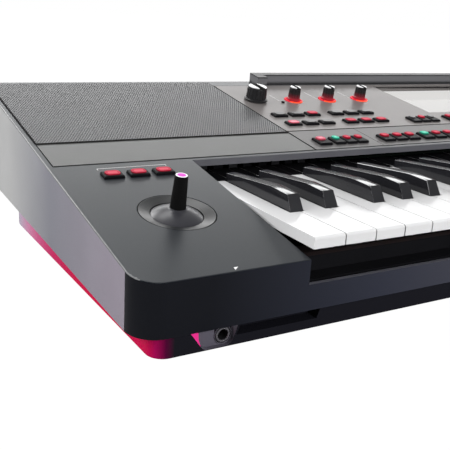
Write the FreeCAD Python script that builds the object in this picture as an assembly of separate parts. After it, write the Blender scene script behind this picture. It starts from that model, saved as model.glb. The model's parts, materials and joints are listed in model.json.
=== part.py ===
# Arranger keyboard: a 61-key instrument with a sloping deck, speakers, display and joystick.
# Millimetres. Origin at the middle of the footprint on the floor, +X to the treble end, +Y to the back.
# Sizes are set out as u from the left side, v from the front, z above the floor, n out of the deck.

import FreeCAD
import Part
import math
import os

Vector = FreeCAD.Vector

# Keys
white_pitch = 23.5
white_count = 36
key_gap = 0.8
key_front = 1.8
key_thickness = 7.2
key_travel = 10.0
key_side_gap = 2.0
lip_gap = 6.9
key_lip_gap = 20.0
arm_drop = 3.0
black_front = 49.0
black_base_width = 10.2
black_side_draft = 0.7
black_height = 10.8
black_front_height = 10.0
black_rear_height = 5.7
black_front_slope = 5.8
black_crest = 25.0
black_clearance = 0.85
pair_offset = 2.35
triple_offset = 3.36

# Hinge of the keys
pivot_set_back = 36.0
lug_half_length = 10.0
lug_width = 8.0
rod_radius = 1.5
rod_clearance = 0.06
rod_fit = 0.03

# Key frame and action
frame_height = 27.5
frame_thickness = 2.5
frame_front = 8.0
comb_thickness = 2.4
comb_reach = 6.0
comb_rise = 4.0
felt_front = 20.0
felt_width = 12.0
felt_thickness = 2.5
felt_gap = 0.4
rest_set_back = 4.0
rest_gap = 0.3
rest_margin = 1.0
spring_strip = 7.0
spring_thickness = 0.6
spring_width = 4.8
spring_gap = 0.9
contact_front = 100.0
contact_width = 30.0
contact_gap = 5.0
contact_rail = 4.0
contact_rail_inset = 2.0

# Case, across
left_block = 107.6
right_block = 50.4
wall = 3.0
front_corner_radius = 17.0
rear_corner_radius = 8.0
edge_round = 1.0

# Case, upwards
foot_height = 5.0
foot_radius = 11.0
foot_inset_u = 60.0
foot_inset_v = 45.0
parting_height = 14.3
parting_rise = 0.014
slip_height = 30.9
deck_front_height = 46.5
deck_slope = 0.161
lip_thickness = 5.0
flange_thickness = 3.0
flange_clearance = 0.3

# Case, front to back: the depth is the sum of these spaces and of the buttons between them
lip_reach = 152.0
panel_margin = 4.1
band_depth = 44.5
strip_depth = 42.1
row_margin = 12.6
row_space = 14.0
knob_margin = 39.0
knob_to_rear = 50.8
rail_depth = 16.2
grille_margin = 4.6

# Plinth of the lower case
plinth_front = 4.0
plinth_set_back = 67.0
plinth_side = 11.5
plinth_flare = 0.023
plinth_front_radius = 10.0
plinth_rear_radius = 30.0
floor_post_radius = 5.0
floor_post_inset = 30.0
floor_post_columns = 5
floor_post_front = 14.0
floor_post_behind_lip = 8.0

# Panels laid flush in the deck
panel_left = 225.0
panel_border = 4.2
panel_thickness = 2.5
panel_gap = 0.35
ledge = 8.0
band_end_width = 75.0
split_width = 0.6
split_depth = 0.5

# Circuit boards
board_thickness = 1.6
board_drop = 10.0
board_front_inset = 3.0
post_radius = 2.5
window_margin = 8.0
block_board_margin = 6.0
block_post_inset = 3.0
main_board_offset = 96.0
main_board_width = 180.0
main_board_depth = 60.0
main_board_gap = 7.0
stand_height = 10.0
stand_radius = 4.0
stand_inset = 6.0
chip_size = 24.0
chip_pitch = 45.0
chip_count = 3
chip_inset = 18.0
chip_height = 2.5

# Speakers
speaker_opening = 46.0
speaker_flange = 6.0
flange_depth = 3.0
cone_edge = 4.0
cone_depth = 12.0
cone_cap = 12.0
basket_depth = 8.0
magnet_radius = 28.0
magnet_depth = 16.0
speaker_depth = 52.0

# Display
display_width = 144.0
display_margin = 13.4
display_rim = 0.4
display_drop = 7.0
display_wall = 2.0
glass_thickness = 1.5
module_thickness = 7.0

# Music rest rail
rail_inset = 53.0
rail_height = 9.0
rail_floor = 1.0
rail_shelf = 3.0
rail_end = 12.0
slot_margin = 2.7
slot_width = 5.0
slot_depth = 7.0

# Push buttons
button_rise = 2.0
button_travel = 1.2
button_chamfer = 0.6
button_clearance = 0.3
switch_gap = 0.8
wide_width = 14.4
wide_depth = 9.4
wide_gap = 4.5
tall_width = 12.4
tall_gap = 2.8
slim_width = 10.4
slim_gap = 2.2
band_button_depth = 14.6

# Rows of buttons
group_size = 3
block_row_shift = 3.6
block_row_gap = 16.7
row_inset = 12.0
row_group_gap = 9.9
band_row_margin = 8.9
band_inset = 11.6
band_step_gap = 4.6
band_margin = 9.0
band_groups = 8
menu_inset = 159.6
menu_margin = 7.4
menu_groups = 5

# Knobs
knob_gap = 0.8
knob_skirt_height = 2.0
knob_shoulder = 1.0
knob_draft = 0.06
knob_crown = 0.8
shaft_radius = 3.0
shaft_reach = 7.5
shaft_clearance = 0.06
shaft_end_gap = 1.0
bushing_radius = 4.4
bushing_drop = 0.1
bushing_clearance = 0.2
pot_size = 13.0
pot_top_drop = 3.5
volume_inset = 21.0
volume_set_back = 2.0
volume_radius = 10.0
volume_skirt = 1.6
volume_height = 16.5
control_inset = 65.0
control_pitch = 42.85
control_count = 3
control_radius = 6.4
control_height = 16.0
ring_gap = 0.8
ring_width = 2.2
ring_rise = 0.8
ring_clearance = 0.1

# Joystick
stick_shift = 4.1
stick_reach = 74.5
dish_radius = 25.0
dish_depth = 6.0
dish_lip = 1.4
dish_flange = 3.0
dish_flange_thickness = 2.0
dish_clearance = 0.15
dome_gap = 0.56
dome_radius = 20.5
dome_rise = 3.0
dome_shell = 2.5
dome_edge_angle = 80.0
lever_base_radius = 5.1
lever_top_radius = 4.2
lever_top = 23.5
lever_tail = 5.0
cap_thickness = 1.5
gimbal_gap = 3.4
gimbal_wall = 3.3
gimbal_height = 6.0
gimbal_pin = 1.5
pin_clearance = 0.06
pin_end_gap = 2.0
ear_gap = 2.0
ear_thickness = 2.6
ear_width = 8.0
ear_rise = 3.0
base_drop = 18.5
base_plate = 2.0
base_post_radius = 1.1
base_post_clearance = 0.3

# Headphone socket, its dish and the notch beside it
jack_bore = 3.2
jack_wall = 1.8
jack_shift = 1.6
jack_height = 6.2
jack_face = 7.0
jack_depth = 16.0
jack_gap = 0.55
jack_clearance = 0.2
jack_body_half = 7.0
jack_body_length = 18.0
jack_body_rise = 6.0
phones_dish_width = 11.0
phones_dish_margin = 0.4
phones_left_lean = 41.0
phones_right_lean = 22.0
phones_floor_width = 9.5
phones_floor_margin = 0.15
phones_floor_lean = 5.0
phones_backing = 29.0
phones_rim_wall = 0.8
notch_width = 60.6
notch_slant = 3.0
notch_depth = 9.0
notch_floor = 5.9
notch_backing = 4.0

# Rear sockets, placed from the middle of the back
socket_height = 40.0
socket_clearance = 0.3
jack_offset = 116.0
jack_pitch = 28.0
jack_count = 4
rear_body_half = 8.0
rear_body_length = 20.0
inlet_offset = 41.0
inlet_depth = 10.0
inlet_pin = 1.0
inlet_pin_drop = 2.0
usb_offset = 76.0
usb_width = 12.4
usb_height = 5.2
usb_depth = 13.0
usb_wall = 0.9
usb_flange = 2.0
usb_length = 16.0
power_offset = -44.0
power_radius = 6.0
power_length = 9.0
power_travel = 2.5
power_gap = 0.5
power_body_length = 10.0
power_ear = 2.0

# Screws
screw_radius = 1.5
screw_head = 3.5
screw_head_height = 2.2
screw_length = 14.0
screw_inset = 6.5
screw_front = 26.0
screw_behind_plinth = 20.0
screw_pitch = 250.0
screw_fit = 0.1
screw_clearance = 0.2
boss_radius = 4.0

# Places across, worked out from the sizes above
width = left_block + 2 * key_side_gap + white_count * white_pitch + right_block
centre = width / 2
well_right = width - right_block
first_key = left_block + key_side_gap
last_key = first_key + white_count * white_pitch
panel_right = width - panel_left
speaker_u = (panel_border + panel_left) / 2
wide_pitch = wide_width + wide_gap
tall_pitch = tall_width + tall_gap
slim_pitch = slim_width + slim_gap
row_left = panel_left + row_inset
row_right = row_left + group_size * wide_pitch + row_group_gap
band_split = panel_left + band_end_width
band_first = panel_left + band_inset
menu_first = panel_left + menu_inset
display_left = centre - display_width / 2
display_right = centre + display_width / 2
rail_left = panel_left + rail_inset
rail_right = width - rail_left
jack_u = left_block / 2 + jack_shift
socket_places = [centre + jack_offset + jack_pitch * i for i in range(jack_count)]
usb_place = centre + usb_offset
inlet_place = centre + inlet_offset
power_place = centre + power_offset

# Places from front to back
panel_front = lip_reach + panel_margin
band_rear = panel_front + band_depth
strip_rear = panel_front + strip_depth
band_row_v = panel_front + band_row_margin
block_row_v = panel_front - wide_depth - block_row_gap
arranger_row_v = band_rear + row_margin
effect_row_v = arranger_row_v + wide_depth + row_space
knob_row_v = effect_row_v + wide_depth + knob_margin
panel_rear = knob_row_v + knob_to_rear
depth = panel_rear + rail_depth
grille_rear = depth - grille_margin
speaker_v = (strip_rear + grille_rear) / 2
plinth_rear = depth - plinth_set_back
menu_row_v = band_rear + menu_margin
display_front = menu_row_v + band_button_depth + display_margin
display_rear = panel_rear - display_wall - display_rim
slot_front = panel_rear + slot_margin
pivot_reach = lip_reach + pivot_set_back
lug_start = pivot_reach - lug_half_length
lug_end = pivot_reach + lug_half_length
head_end = black_front - black_clearance
key_rear = lip_reach - key_lip_gap
jack_seat = plinth_front + notch_depth + wall

# Places of knobs and joystick on the deck
volume_place = (panel_left + volume_inset, knob_row_v + volume_set_back)
control_places = [(panel_left + control_inset + control_pitch * i, knob_row_v) for i in range(control_count)]
stick_place = (left_block / 2 + stick_shift, stick_reach)

# How far a form runs into what it grows from, how far a cut runs past a face, and a height above all
bite = wall / 3
past = bite
sky = foot_height + deck_front_height + deck_slope * depth + 2 * rail_height

# Heights and angles
floor = foot_height
deck_angle = math.degrees(math.atan(deck_slope))
deck_cos = math.cos(math.radians(deck_angle))
deck_sin = math.sin(math.radians(deck_angle))
parting_angle = math.degrees(math.atan(parting_rise))
lip_bottom = floor + deck_front_height + deck_slope * lip_reach - lip_thickness / deck_cos
key_top = lip_bottom - lip_gap
key_bottom = key_top - key_thickness
arm_top = key_top - arm_drop
pivot_z = key_top - key_thickness / 2
press_slope = key_travel / (pivot_reach - key_front)
rail_drop = slot_depth + rail_floor
button_reach = board_drop - button_travel - switch_gap
jack_bushing = jack_bore + jack_wall
ring_inner = control_radius + ring_gap
ring_outer = ring_inner + ring_width

# Octave: a black key stands on the boundary between two white keys, moved aside by its offset
natural_names = ["c", "d", "e", "f", "g", "a", "b"]
sharp_offsets = {"c": -pair_offset, "d": pair_offset, "f": -triple_offset, "g": 0.0, "a": triple_offset}
sharp_boundaries = {name: natural_names.index(name) + 1 for name in sharp_offsets}
black_centres = {name: white_pitch * sharp_boundaries[name] + aside for name, aside in sharp_offsets.items()}
centre_at = {sharp_boundaries[name]: middle for name, middle in black_centres.items()}
octave_naturals = len(natural_names)
octave = octave_naturals * white_pitch
octaves = white_count // octave_naturals


def x_at(u):
    return u - centre


def y_at(v):
    return v - depth / 2


def deck_z(v):
    return floor + deck_front_height + deck_slope * v


def roof_z(v, drop):
    return deck_z(v) - drop / deck_cos


def off_deck(v, n):
    # The point at height n over the deck, measured square to it
    return v - n * deck_sin, deck_z(v) + n * deck_cos


def parting_z(v):
    return floor + parting_height + parting_rise * v


def block(u1, u2, v1, v2, z1, z2):
    return Part.makeBox(u2 - u1, v2 - v1, z2 - z1, Vector(x_at(u1), y_at(v1), z1))


def post(u, v, radius, z1, z2):
    return Part.makeCylinder(radius, z2 - z1, Vector(x_at(u), y_at(v), z1))


def along_x(u1, u2, v, radius, z):
    return Part.makeCylinder(radius, u2 - u1, Vector(x_at(u1), y_at(v), z), Vector(1, 0, 0))


def along_y(u, v1, v2, radius, z):
    return Part.makeCylinder(radius, v2 - v1, Vector(x_at(u), y_at(v1), z), Vector(0, 1, 0))


def closed_face(points):
    return Part.Face(Part.makePolygon(points + points[:1]))


def side_prism(outline, u1, u2):
    face = closed_face([Vector(x_at(u1), y_at(v), z) for v, z in outline])
    return face.extrude(Vector(u2 - u1, 0, 0))


def plan_prism(outline, z1, z2):
    face = closed_face([Vector(x_at(u), y_at(v), z1) for u, v in outline])
    return face.extrude(Vector(0, 0, z2 - z1))


def front_prism(outline, v1, v2):
    face = closed_face([Vector(x_at(u), y_at(v1), z) for u, z in outline])
    return face.extrude(Vector(0, v2 - v1, 0))


def round_corners(prism, front_radius, rear_radius):
    # Rounds the upright edges, with one radius for the front half and one for the rear half
    box = prism.BoundBox
    for radius, side in ((front_radius, -1), (rear_radius, 1)):
        upright = [e for e in prism.Edges if e.BoundBox.ZLength > box.ZLength / 2]
        corners = [e for e in upright if side * (e.CenterOfMass.y - box.Center.y) > 0]
        prism = prism.makeFillet(radius, corners)
    return prism


def on_deck(shape, u, v):
    # Carries a shape from its own origin to the deck, with its Z along the deck's normal
    turn = FreeCAD.Rotation(Vector(1, 0, 0), deck_angle)
    shape.Placement = FreeCAD.Placement(Vector(x_at(u), y_at(v), deck_z(v)), turn)
    return shape


def on_parting(shape, u, v):
    turn = FreeCAD.Rotation(Vector(1, 0, 0), parting_angle)
    shape.Placement = FreeCAD.Placement(Vector(x_at(u), y_at(v), parting_z(v)), turn)
    return shape


def deck_plate(u1, u2, v1, v2, low, high):
    plate = Part.makeBox(u2 - u1, (v2 - v1) / deck_cos, high - low, Vector(0, 0, low))
    return on_deck(plate, u1, v1)


def deck_disc(u, v, radius, low, high):
    return on_deck(Part.makeCylinder(radius, high - low, Vector(0, 0, low)), u, v)


def turned(outline):
    # Turns an outline of radius and height about the local Z axis
    face = closed_face([Vector(r, 0, n) for r, n in outline])
    return face.revolve(Vector(0, 0, 0), Vector(0, 0, 1), 360)


def mirrored(u1, u2):
    return width - u2, width - u1


def fused(shapes):
    return shapes[0].fuse(shapes[1:]).removeSplitter()


# Keys

def natural_tail(number):
    # The tail of a white key runs between the slots of its black neighbours
    index = number % octave_naturals
    left = first_key + number * white_pitch
    start = left - index * white_pitch
    half_slot = black_base_width / 2 + black_clearance
    tail_left = left + key_gap / 2
    tail_right = left + white_pitch - key_gap / 2
    if index in centre_at:
        tail_left = start + centre_at[index] + half_slot
    if index + 1 in centre_at and number < white_count - 1:
        tail_right = start + centre_at[index + 1] - half_slot
    return tail_left, tail_right


def key_arm(left, right):
    # Behind its playing surface a key runs on to the pivot as a lower arm
    return block(left, right, key_rear, lug_start, key_bottom, arm_top)


def key_lug(middle):
    return block(middle - lug_width / 2, middle + lug_width / 2, lug_start, lug_end, key_bottom, key_top)


def pivot_bore(middle):
    half = white_pitch / 2
    return along_x(middle - half, middle + half, pivot_reach, rod_radius + rod_clearance, pivot_z)


def natural_key(number):
    left = first_key + number * white_pitch + key_gap / 2
    right = left + white_pitch - key_gap
    tail_left, tail_right = natural_tail(number)
    middle = (tail_left + tail_right) / 2
    head = block(left, right, key_front, head_end, key_bottom, key_top)
    tail = block(tail_left, tail_right, head_end, key_rear, key_bottom, key_top)
    return fused([head, tail, key_arm(tail_left, tail_right), key_lug(middle)]).cut(pivot_bore(middle))


def sharp_key(number, name):
    middle = first_key + number * octave + black_centres[name]
    base = black_base_width / 2
    crown = base - black_side_draft
    top = key_top + black_height
    outline = [(-base, key_bottom), (base, key_bottom), (base, key_top), (crown, top), (-crown, top),
               (-base, key_top)]
    bar = front_prism([(middle + u, z) for u, z in outline], black_front, key_rear)
    rear_top = key_top + black_rear_height
    # The top climbs from the front edge to a crest, then falls away to the rear
    front_edge = (black_front + black_front_slope, key_top + black_front_height)
    crest = (black_front + black_crest, top)
    above = [(black_front - past, key_top), (black_front, key_top), front_edge, crest, (key_rear, rear_top),
             (lug_start, rear_top), (lug_start, sky), (black_front - past, sky)]
    bar = bar.cut(side_prism(above, middle - base - past, middle + base + past))
    arm = key_arm(middle - base, middle + base)
    return fused([bar, arm, key_lug(middle)]).cut(pivot_bore(middle))


def lug_centres():
    naturals = [sum(natural_tail(number)) / 2 for number in range(white_count)]
    sharps = [first_key + number * octave + c for number in range(octaves) for c in black_centres.values()]
    return naturals + sharps


# Key frame and action, with heights worked out from the keys at rest and fully down

def pressed_bottom(v):
    return key_bottom - (pivot_reach - v) * press_slope


frame_bottom = floor + frame_height
frame_top = frame_bottom + frame_thickness
frame_left = first_key - comb_thickness / 2
frame_right = last_key + comb_thickness / 2
felt_rear = felt_front + felt_width
felt_top = pressed_bottom(felt_front) - felt_gap
rest_front = pivot_reach + rest_set_back
rest_rear = lug_end + rest_margin
rest_top = key_bottom - rest_gap
frame_rear = rest_rear + spring_strip
spring_bottom = key_top + spring_gap
spring_top = spring_bottom + spring_thickness
contact_rear = contact_front + contact_width
contact_top = pressed_bottom(contact_front) - contact_gap
comb_places = [first_key + octave * k for k in range(octaves + 1)] + [last_key]


def key_frame():
    low = frame_top - frame_thickness / 2
    rails = [(felt_front, felt_rear, felt_top - felt_thickness),
             (rest_front, rest_rear, rest_top - felt_thickness),
             (rest_rear, frame_rear, spring_bottom)]
    for v in (contact_front + contact_rail_inset, contact_rear - contact_rail_inset - contact_rail):
        rails.append((v, v + contact_rail, contact_top - board_thickness))
    pieces = [block(frame_left, frame_right, frame_front, frame_rear, frame_bottom, frame_top)]
    pieces += [block(frame_left, frame_right, v1, v2, low, top) for v1, v2, top in rails]
    pieces += [block(u - comb_thickness / 2, u + comb_thickness / 2, pivot_reach - comb_reach, rest_rear, low,
                     pivot_z + comb_rise) for u in comb_places]
    return fused(pieces).cut(along_x(0, width, pivot_reach, rod_radius + rod_fit, pivot_z))


def key_pivot_rod():
    return along_x(frame_left, frame_right, pivot_reach, rod_radius, pivot_z)


def key_stop_felts():
    half = comb_thickness / 2
    low = rest_top - felt_thickness
    strips = [block(frame_left, frame_right, felt_front, felt_rear, felt_top - felt_thickness, felt_top)]
    for left, right in zip(comb_places, comb_places[1:]):
        strips.append(block(left + half, right - half, rest_front, rest_rear, low, rest_top))
    return strips


def key_spring_comb():
    strip = block(frame_left, frame_right, rest_rear, frame_rear, spring_bottom, spring_top)
    half = spring_width / 2
    fingers = [block(c - half, c + half, rest_front, rest_rear, spring_bottom, spring_top)
               for c in lug_centres()]
    return fused([strip] + fingers)


def key_contact_board():
    low = contact_top - board_thickness
    return block(frame_left, frame_right, contact_front, contact_rear, low, contact_top)


# Push buttons, each placed as (u, v, width, depth) of its front left corner

def row_of(u, v, count, pitch, button_width, button_depth):
    return [(u + pitch * i, v, button_width, button_depth) for i in range(count)]


def mirrored_row(row):
    return [(width - u - w, v, w, d) for u, v, w, d in row]


def panel_rows(v):
    groups = [row_of(u, v, group_size, wide_pitch, wide_width, wide_depth) for u in (row_left, row_right)]
    return groups[0] + groups[1]


def band_end_row():
    first = row_of(band_first, band_row_v, 1, tall_pitch, tall_width, band_button_depth)
    rest = band_first + tall_width + band_step_gap
    return first + row_of(rest, band_row_v, group_size, slim_pitch, slim_width, band_button_depth)


def spread_groups(first, count, pitch, button_width, v):
    # Spaces groups of buttons evenly about the middle of the panel
    group_width = pitch * (group_size - 1) + button_width
    step = (width - 2 * first - group_width) / (count - 1)
    places = []
    for i in range(count):
        places += row_of(first + step * i, v, group_size, pitch, button_width, band_button_depth)
    return places


block_row_u = left_block / 2 + block_row_shift - (group_size * wide_pitch - wide_gap) / 2
block_buttons = row_of(block_row_u, block_row_v, group_size, wide_pitch, wide_width, wide_depth)
effect_buttons = panel_rows(effect_row_v)
arranger_buttons = panel_rows(arranger_row_v)
voice_buttons = mirrored_row(effect_buttons) + mirrored_row(arranger_buttons)
intro_buttons = band_end_row() + mirrored_row(band_end_row())
band_buttons = spread_groups(band_split + band_margin, band_groups, tall_pitch, tall_width, band_row_v)
variation_buttons = band_buttons[:len(band_buttons) // 2]
memory_buttons = band_buttons[len(band_buttons) // 2:]
menu_buttons = spread_groups(menu_first, menu_groups, slim_pitch, slim_width, menu_row_v)
main_panel_buttons = effect_buttons + arranger_buttons + voice_buttons + menu_buttons
band_panel_buttons = intro_buttons + band_buttons


def button(place):
    u, v, w, d = place
    cap = Part.makeBox(w, d, button_rise + button_reach, Vector(0, 0, -button_reach))
    rim = [e for e in cap.Edges if e.BoundBox.ZMin > 0]
    return on_deck(cap.makeChamfer(button_chamfer, rim), u, v)


def button_hole(place):
    u, v, w, d = place
    gap = button_clearance
    hole = Part.makeBox(w + 2 * gap, d + 2 * gap, 2 * button_reach, Vector(-gap, -gap, -button_reach))
    return on_deck(hole, u, v)


def button_bank(places):
    return [button(place) for place in places]


# Case shells

def screw_places():
    reaches = (screw_front, plinth_rear + screw_behind_plinth)
    sides = [(u, v) for u in (screw_inset, width - screw_inset) for v in reaches]
    back = [(centre + k * screw_pitch, depth - screw_inset) for k in (-1, 0, 1)]
    return sides + back


def case_plan(inset, z1, z2):
    outline = [(inset, inset), (width - inset, inset), (width - inset, depth - inset), (inset, depth - inset)]
    return round_corners(plan_prism(outline, z1, z2), front_corner_radius - inset, rear_corner_radius - inset)


def between(low, high):
    # The space over the whole footprint between two sloping planes, each given as a function of v
    outline = [(0, low(0)), (0, high(0)), (depth, high(depth)), (depth, low(depth))]
    return side_prism(outline, 0, width)


def ground(v):
    return 0.0


def flange_top(v):
    return parting_z(v) + flange_thickness


def case_body():
    body = between(parting_z, deck_z).common(case_plan(0, 0, sky)).removeSplitter()
    deck = max(body.Faces, key=lambda face: face.CenterOfMass.z)
    return body.makeFillet(edge_round, deck.Edges)


def cavity(u1, u2, v1, v2, drop):
    outline = [(v1, 0), (v1, roof_z(v1, drop)), (v2, roof_z(v2, drop)), (v2, 0)]
    return side_prism(outline, u1, u2)


def case_cavities():
    hollows = [cavity(wall, left_block - wall, wall, lip_reach, wall),
               cavity(well_right + wall, width - wall, wall, lip_reach, wall),
               cavity(wall, width - wall, lip_reach, depth - wall, lip_thickness),
               block(left_block, well_right, wall, lip_reach, 0, floor + slip_height)]
    inner = case_plan(wall, 0, sky)
    return inner.common(fused(hollows)).fuse(inner.common(between(ground, flange_top)))


def case_bosses():
    reach = case_plan(bite, 0, sky).common(between(flange_top, lambda v: roof_z(v, lip_thickness - bite)))
    return [post(u, v, boss_radius, 0, sky).common(reach) for u, v in screw_places()]


def block_board_corners():
    left = block_row_u - block_board_margin
    right = block_buttons[-1][0] + wide_width + block_board_margin
    front = block_row_v - block_board_margin
    rear = block_row_v + wide_depth + block_board_margin
    return left, right, front, rear


def block_board_posts():
    left, right, front, rear = block_board_corners()
    inset = block_post_inset
    return [deck_disc(u, v, post_radius, -board_drop, -wall / 2) for u in (left + inset, right - inset)
            for v in (front + inset, rear - inset)]


def panel_recesses():
    # Shallow beds for the panels and grilles, with openings through to the inside
    cuts = [deck_plate(panel_border, panel_left, panel_front, grille_rear, -panel_thickness, sky),
            deck_plate(panel_right, width - panel_border, panel_front, grille_rear, -panel_thickness, sky),
            deck_plate(panel_left, panel_right, panel_front, panel_rear, -panel_thickness, sky)]
    left, right = panel_left + ledge, panel_right - ledge
    for front, rear in ((panel_front, band_rear), (band_rear, panel_rear)):
        cuts.append(deck_plate(left, right, front + ledge / 2, rear - ledge / 2, -rail_drop, past))
    edge = display_wall + panel_gap
    cuts.append(deck_plate(display_left - edge, display_right + edge, display_front - edge, panel_rear,
                           -rail_drop, past))
    cuts.append(deck_plate(rail_left, rail_right, panel_rear, depth + ledge, -rail_drop, sky))
    for u in (speaker_u, width - speaker_u):
        cuts.append(deck_disc(u, speaker_v, speaker_opening, -2 * lip_thickness, past))
    return cuts


def rear_holes():
    z = floor + socket_height
    rounds = [(u, jack_bushing) for u in socket_places + [inlet_place]] + [(power_place, power_radius)]
    holes = [along_y(u, depth - 2 * wall, depth + past, radius + socket_clearance, z) for u, radius in rounds]
    return holes + [usb_shell(socket_clearance, depth - 2 * wall, depth + past)]


def upper_case():
    case = case_body().cut(case_cavities())
    case = case.cut(block(left_block, well_right, -past, lip_reach, floor + slip_height, sky))
    shelf = deck_plate(rail_left - ledge, rail_right + ledge, panel_rear, depth - wall,
                       -rail_drop - rail_shelf, -rail_drop)
    case = fused([case, shelf] + case_bosses() + block_board_posts())
    cuts = panel_recesses() + rear_holes() + [button_hole(place) for place in block_buttons]
    cuts.append(deck_disc(*stick_place, dish_radius + dish_clearance, -2 * wall, past))
    for u, v in screw_places():
        cuts.append(on_parting(Part.makeCylinder(screw_radius + screw_fit, screw_length + past), u, v))
    return case.cut(cuts)


def plinth(inset, z1, z2):
    near = plinth_side + inset
    far = plinth_side - plinth_flare * plinth_rear + inset
    outline = [(near, plinth_front + inset), (width - near, plinth_front + inset),
               (width - far, plinth_rear - inset), (far, plinth_rear - inset)]
    return round_corners(plan_prism(outline, z1, z2), plinth_front_radius - inset, plinth_rear_radius - inset)


def scoop_side(u, radius, lean, side):
    # Half of the dish's outline, from the parting down a leaning side and round to its lowest point
    z = floor + jack_height
    turn = math.radians(lean)
    half_turn = (turn + math.pi / 2) / 2
    foot = (u + side * radius * math.cos(turn), z - radius * math.sin(turn))
    belly = (u + side * radius * math.cos(half_turn), z - radius * math.sin(half_turn))
    high = floor + parting_height
    rim = (foot[0] + side * (high - foot[1]) * math.tan(turn), high)
    return [rim, foot, belly, (u, z - radius)]


def scoop(reach, radius, left_lean, right_lean, v):
    left = scoop_side(jack_u - reach, radius, left_lean, -1)
    right = scoop_side(jack_u, radius, right_lean, 1)
    p = [Vector(x_at(u), y_at(v), z) for u, z in left + right[::-1]]
    edges = [Part.LineSegment(p[0], p[1]), Part.Arc(p[1], p[2], p[3]), Part.LineSegment(p[3], p[4]),
             Part.Arc(p[4], p[5], p[6]), Part.LineSegment(p[6], p[7]), Part.LineSegment(p[7], p[0])]
    return Part.Wire([edge.toShape() for edge in edges])


jack_slot = jack_bushing + jack_gap
phones_rim = jack_slot + phones_dish_margin


def phones_dish():
    mouth = scoop(phones_dish_width, phones_rim, phones_left_lean, phones_right_lean, plinth_front - past)
    bottom = scoop(phones_floor_width, jack_slot + phones_floor_margin, phones_floor_lean, 0, jack_face)
    return Part.makeLoft([mouth, bottom], True, True)


def phones_slot():
    # The way in for the socket, open up to the parting
    z = floor + jack_height
    upper = block(jack_u - jack_slot, jack_u + jack_slot, jack_face - past, jack_seat + past, z,
                  floor + parting_height)
    return along_y(jack_u, jack_face - past, jack_seat + past, jack_slot, z).fuse(upper)


notch_right = jack_u + phones_rim + notch_width


def notch_cut():
    # Its left end runs beside the leaning side of the dish, a thin wall away
    low = floor + notch_floor
    high = floor + parting_height
    turn = math.radians(phones_right_lean)
    beside = jack_u + phones_rim / math.cos(turn) + phones_rim_wall
    left_low, left_high = [beside + (z - floor - jack_height) * math.tan(turn) for z in (low, high)]
    outline = [(left_high, high), (notch_right, high), (notch_right - notch_slant, low), (left_low, low)]
    return front_prism(outline, plinth_front - past, plinth_front + notch_depth)


def socket_backing():
    # A thick wall behind the headphone dish and the notch
    return block(jack_u - phones_backing, notch_right + notch_backing, plinth_front + bite, jack_seat,
                 floor + bite, parting_z(0) + bite)


main_board_left = centre + main_board_offset
main_board_right = main_board_left + main_board_width
main_board_rear = plinth_rear - wall - main_board_gap
main_board_front = main_board_rear - main_board_depth
main_board_bottom = floor + wall + stand_height


def floor_stands():
    # Posts from the floor that carry the key frame and the main board
    step = (frame_right - frame_left - 2 * floor_post_inset) / (floor_post_columns - 1)
    columns = [frame_left + floor_post_inset + step * i for i in range(floor_post_columns)]
    rows = (floor_post_front, lip_reach + floor_post_behind_lip)
    posts = [post(u, v, floor_post_radius, floor + bite, frame_bottom) for u in columns for v in rows]
    for u in (main_board_left + stand_inset, main_board_right - stand_inset):
        for v in (main_board_front + stand_inset, main_board_rear - stand_inset):
            posts.append(post(u, v, stand_radius, floor + bite, main_board_bottom))
    return posts


def lower_case():
    flange = case_plan(wall + flange_clearance, 0, sky).common(between(parting_z, flange_top))
    tub = plinth(0, floor, sky).common(between(ground, lambda v: parting_z(v) + bite))
    shell = flange.fuse(tub).removeSplitter().cut(plinth(wall, floor + wall, sky))
    shell = fused([shell, socket_backing()] + floor_stands())
    cuts = [phones_dish(), phones_slot(), notch_cut()]
    for u, v in screw_places():
        hole = Part.makeCylinder(screw_radius + screw_clearance, 4 * wall, Vector(0, 0, -wall))
        cuts.append(on_parting(hole, u, v))
    return shell.cut(cuts)


def rubber_feet():
    columns = (foot_inset_u, centre, width - foot_inset_u)
    rows = (foot_inset_v, plinth_rear - foot_inset_v)
    return [post(u, v, foot_radius, 0, floor) for u in columns for v in rows]


def case_screw(u, v):
    head = Part.makeCylinder(screw_head, screw_head_height, Vector(0, 0, -screw_head_height))
    return on_parting(fused([head, Part.makeCylinder(screw_radius, screw_length)]), u, v)


# Panels, grilles and display

def inlaid(u1, u2, v1, v2):
    gap = panel_gap
    return deck_plate(u1 + gap, u2 - gap, v1 + gap, v2 - gap, -panel_thickness, 0)


def panel_posts(reaches):
    left = [panel_left + 1.5 * ledge, band_split - post_radius, menu_first - 4 * post_radius]
    columns = left + [width - u for u in left]
    return [deck_disc(u, v, post_radius, -board_drop, -panel_thickness / 2) for u in columns for v in reaches]


def display_plate(margin, low, high):
    return deck_plate(display_left - margin, display_right + margin,
                      display_front - margin, display_rear + margin, low, high)


def main_panel():
    plate = inlaid(panel_left, panel_right, band_rear, panel_rear)
    frame = display_plate(display_wall, -display_drop, -panel_thickness / 2)
    plate = fused([plate, frame] + panel_posts([band_rear + ledge, panel_rear - 1.5 * ledge]))
    cuts = [display_plate(0, -display_drop - past, past)]
    cuts += [button_hole(place) for place in main_panel_buttons]
    low = -2 * panel_thickness
    cuts.append(deck_disc(*volume_place, bushing_radius + bushing_clearance, low, past))
    cuts += [deck_disc(u, v, ring_outer + ring_clearance, low, past) for u, v in control_places]
    return plate.cut(cuts)


def lower_panel():
    plate = inlaid(panel_left, panel_right, panel_front, band_rear)
    plate = fused([plate] + panel_posts([band_rear - ledge]))
    cuts = [button_hole(place) for place in band_panel_buttons]
    for u in (band_split, width - band_split):
        left = u - split_width / 2
        cuts.append(deck_plate(left, left + split_width, panel_front, band_rear, -split_depth, past))
    return plate.cut(cuts)


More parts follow.
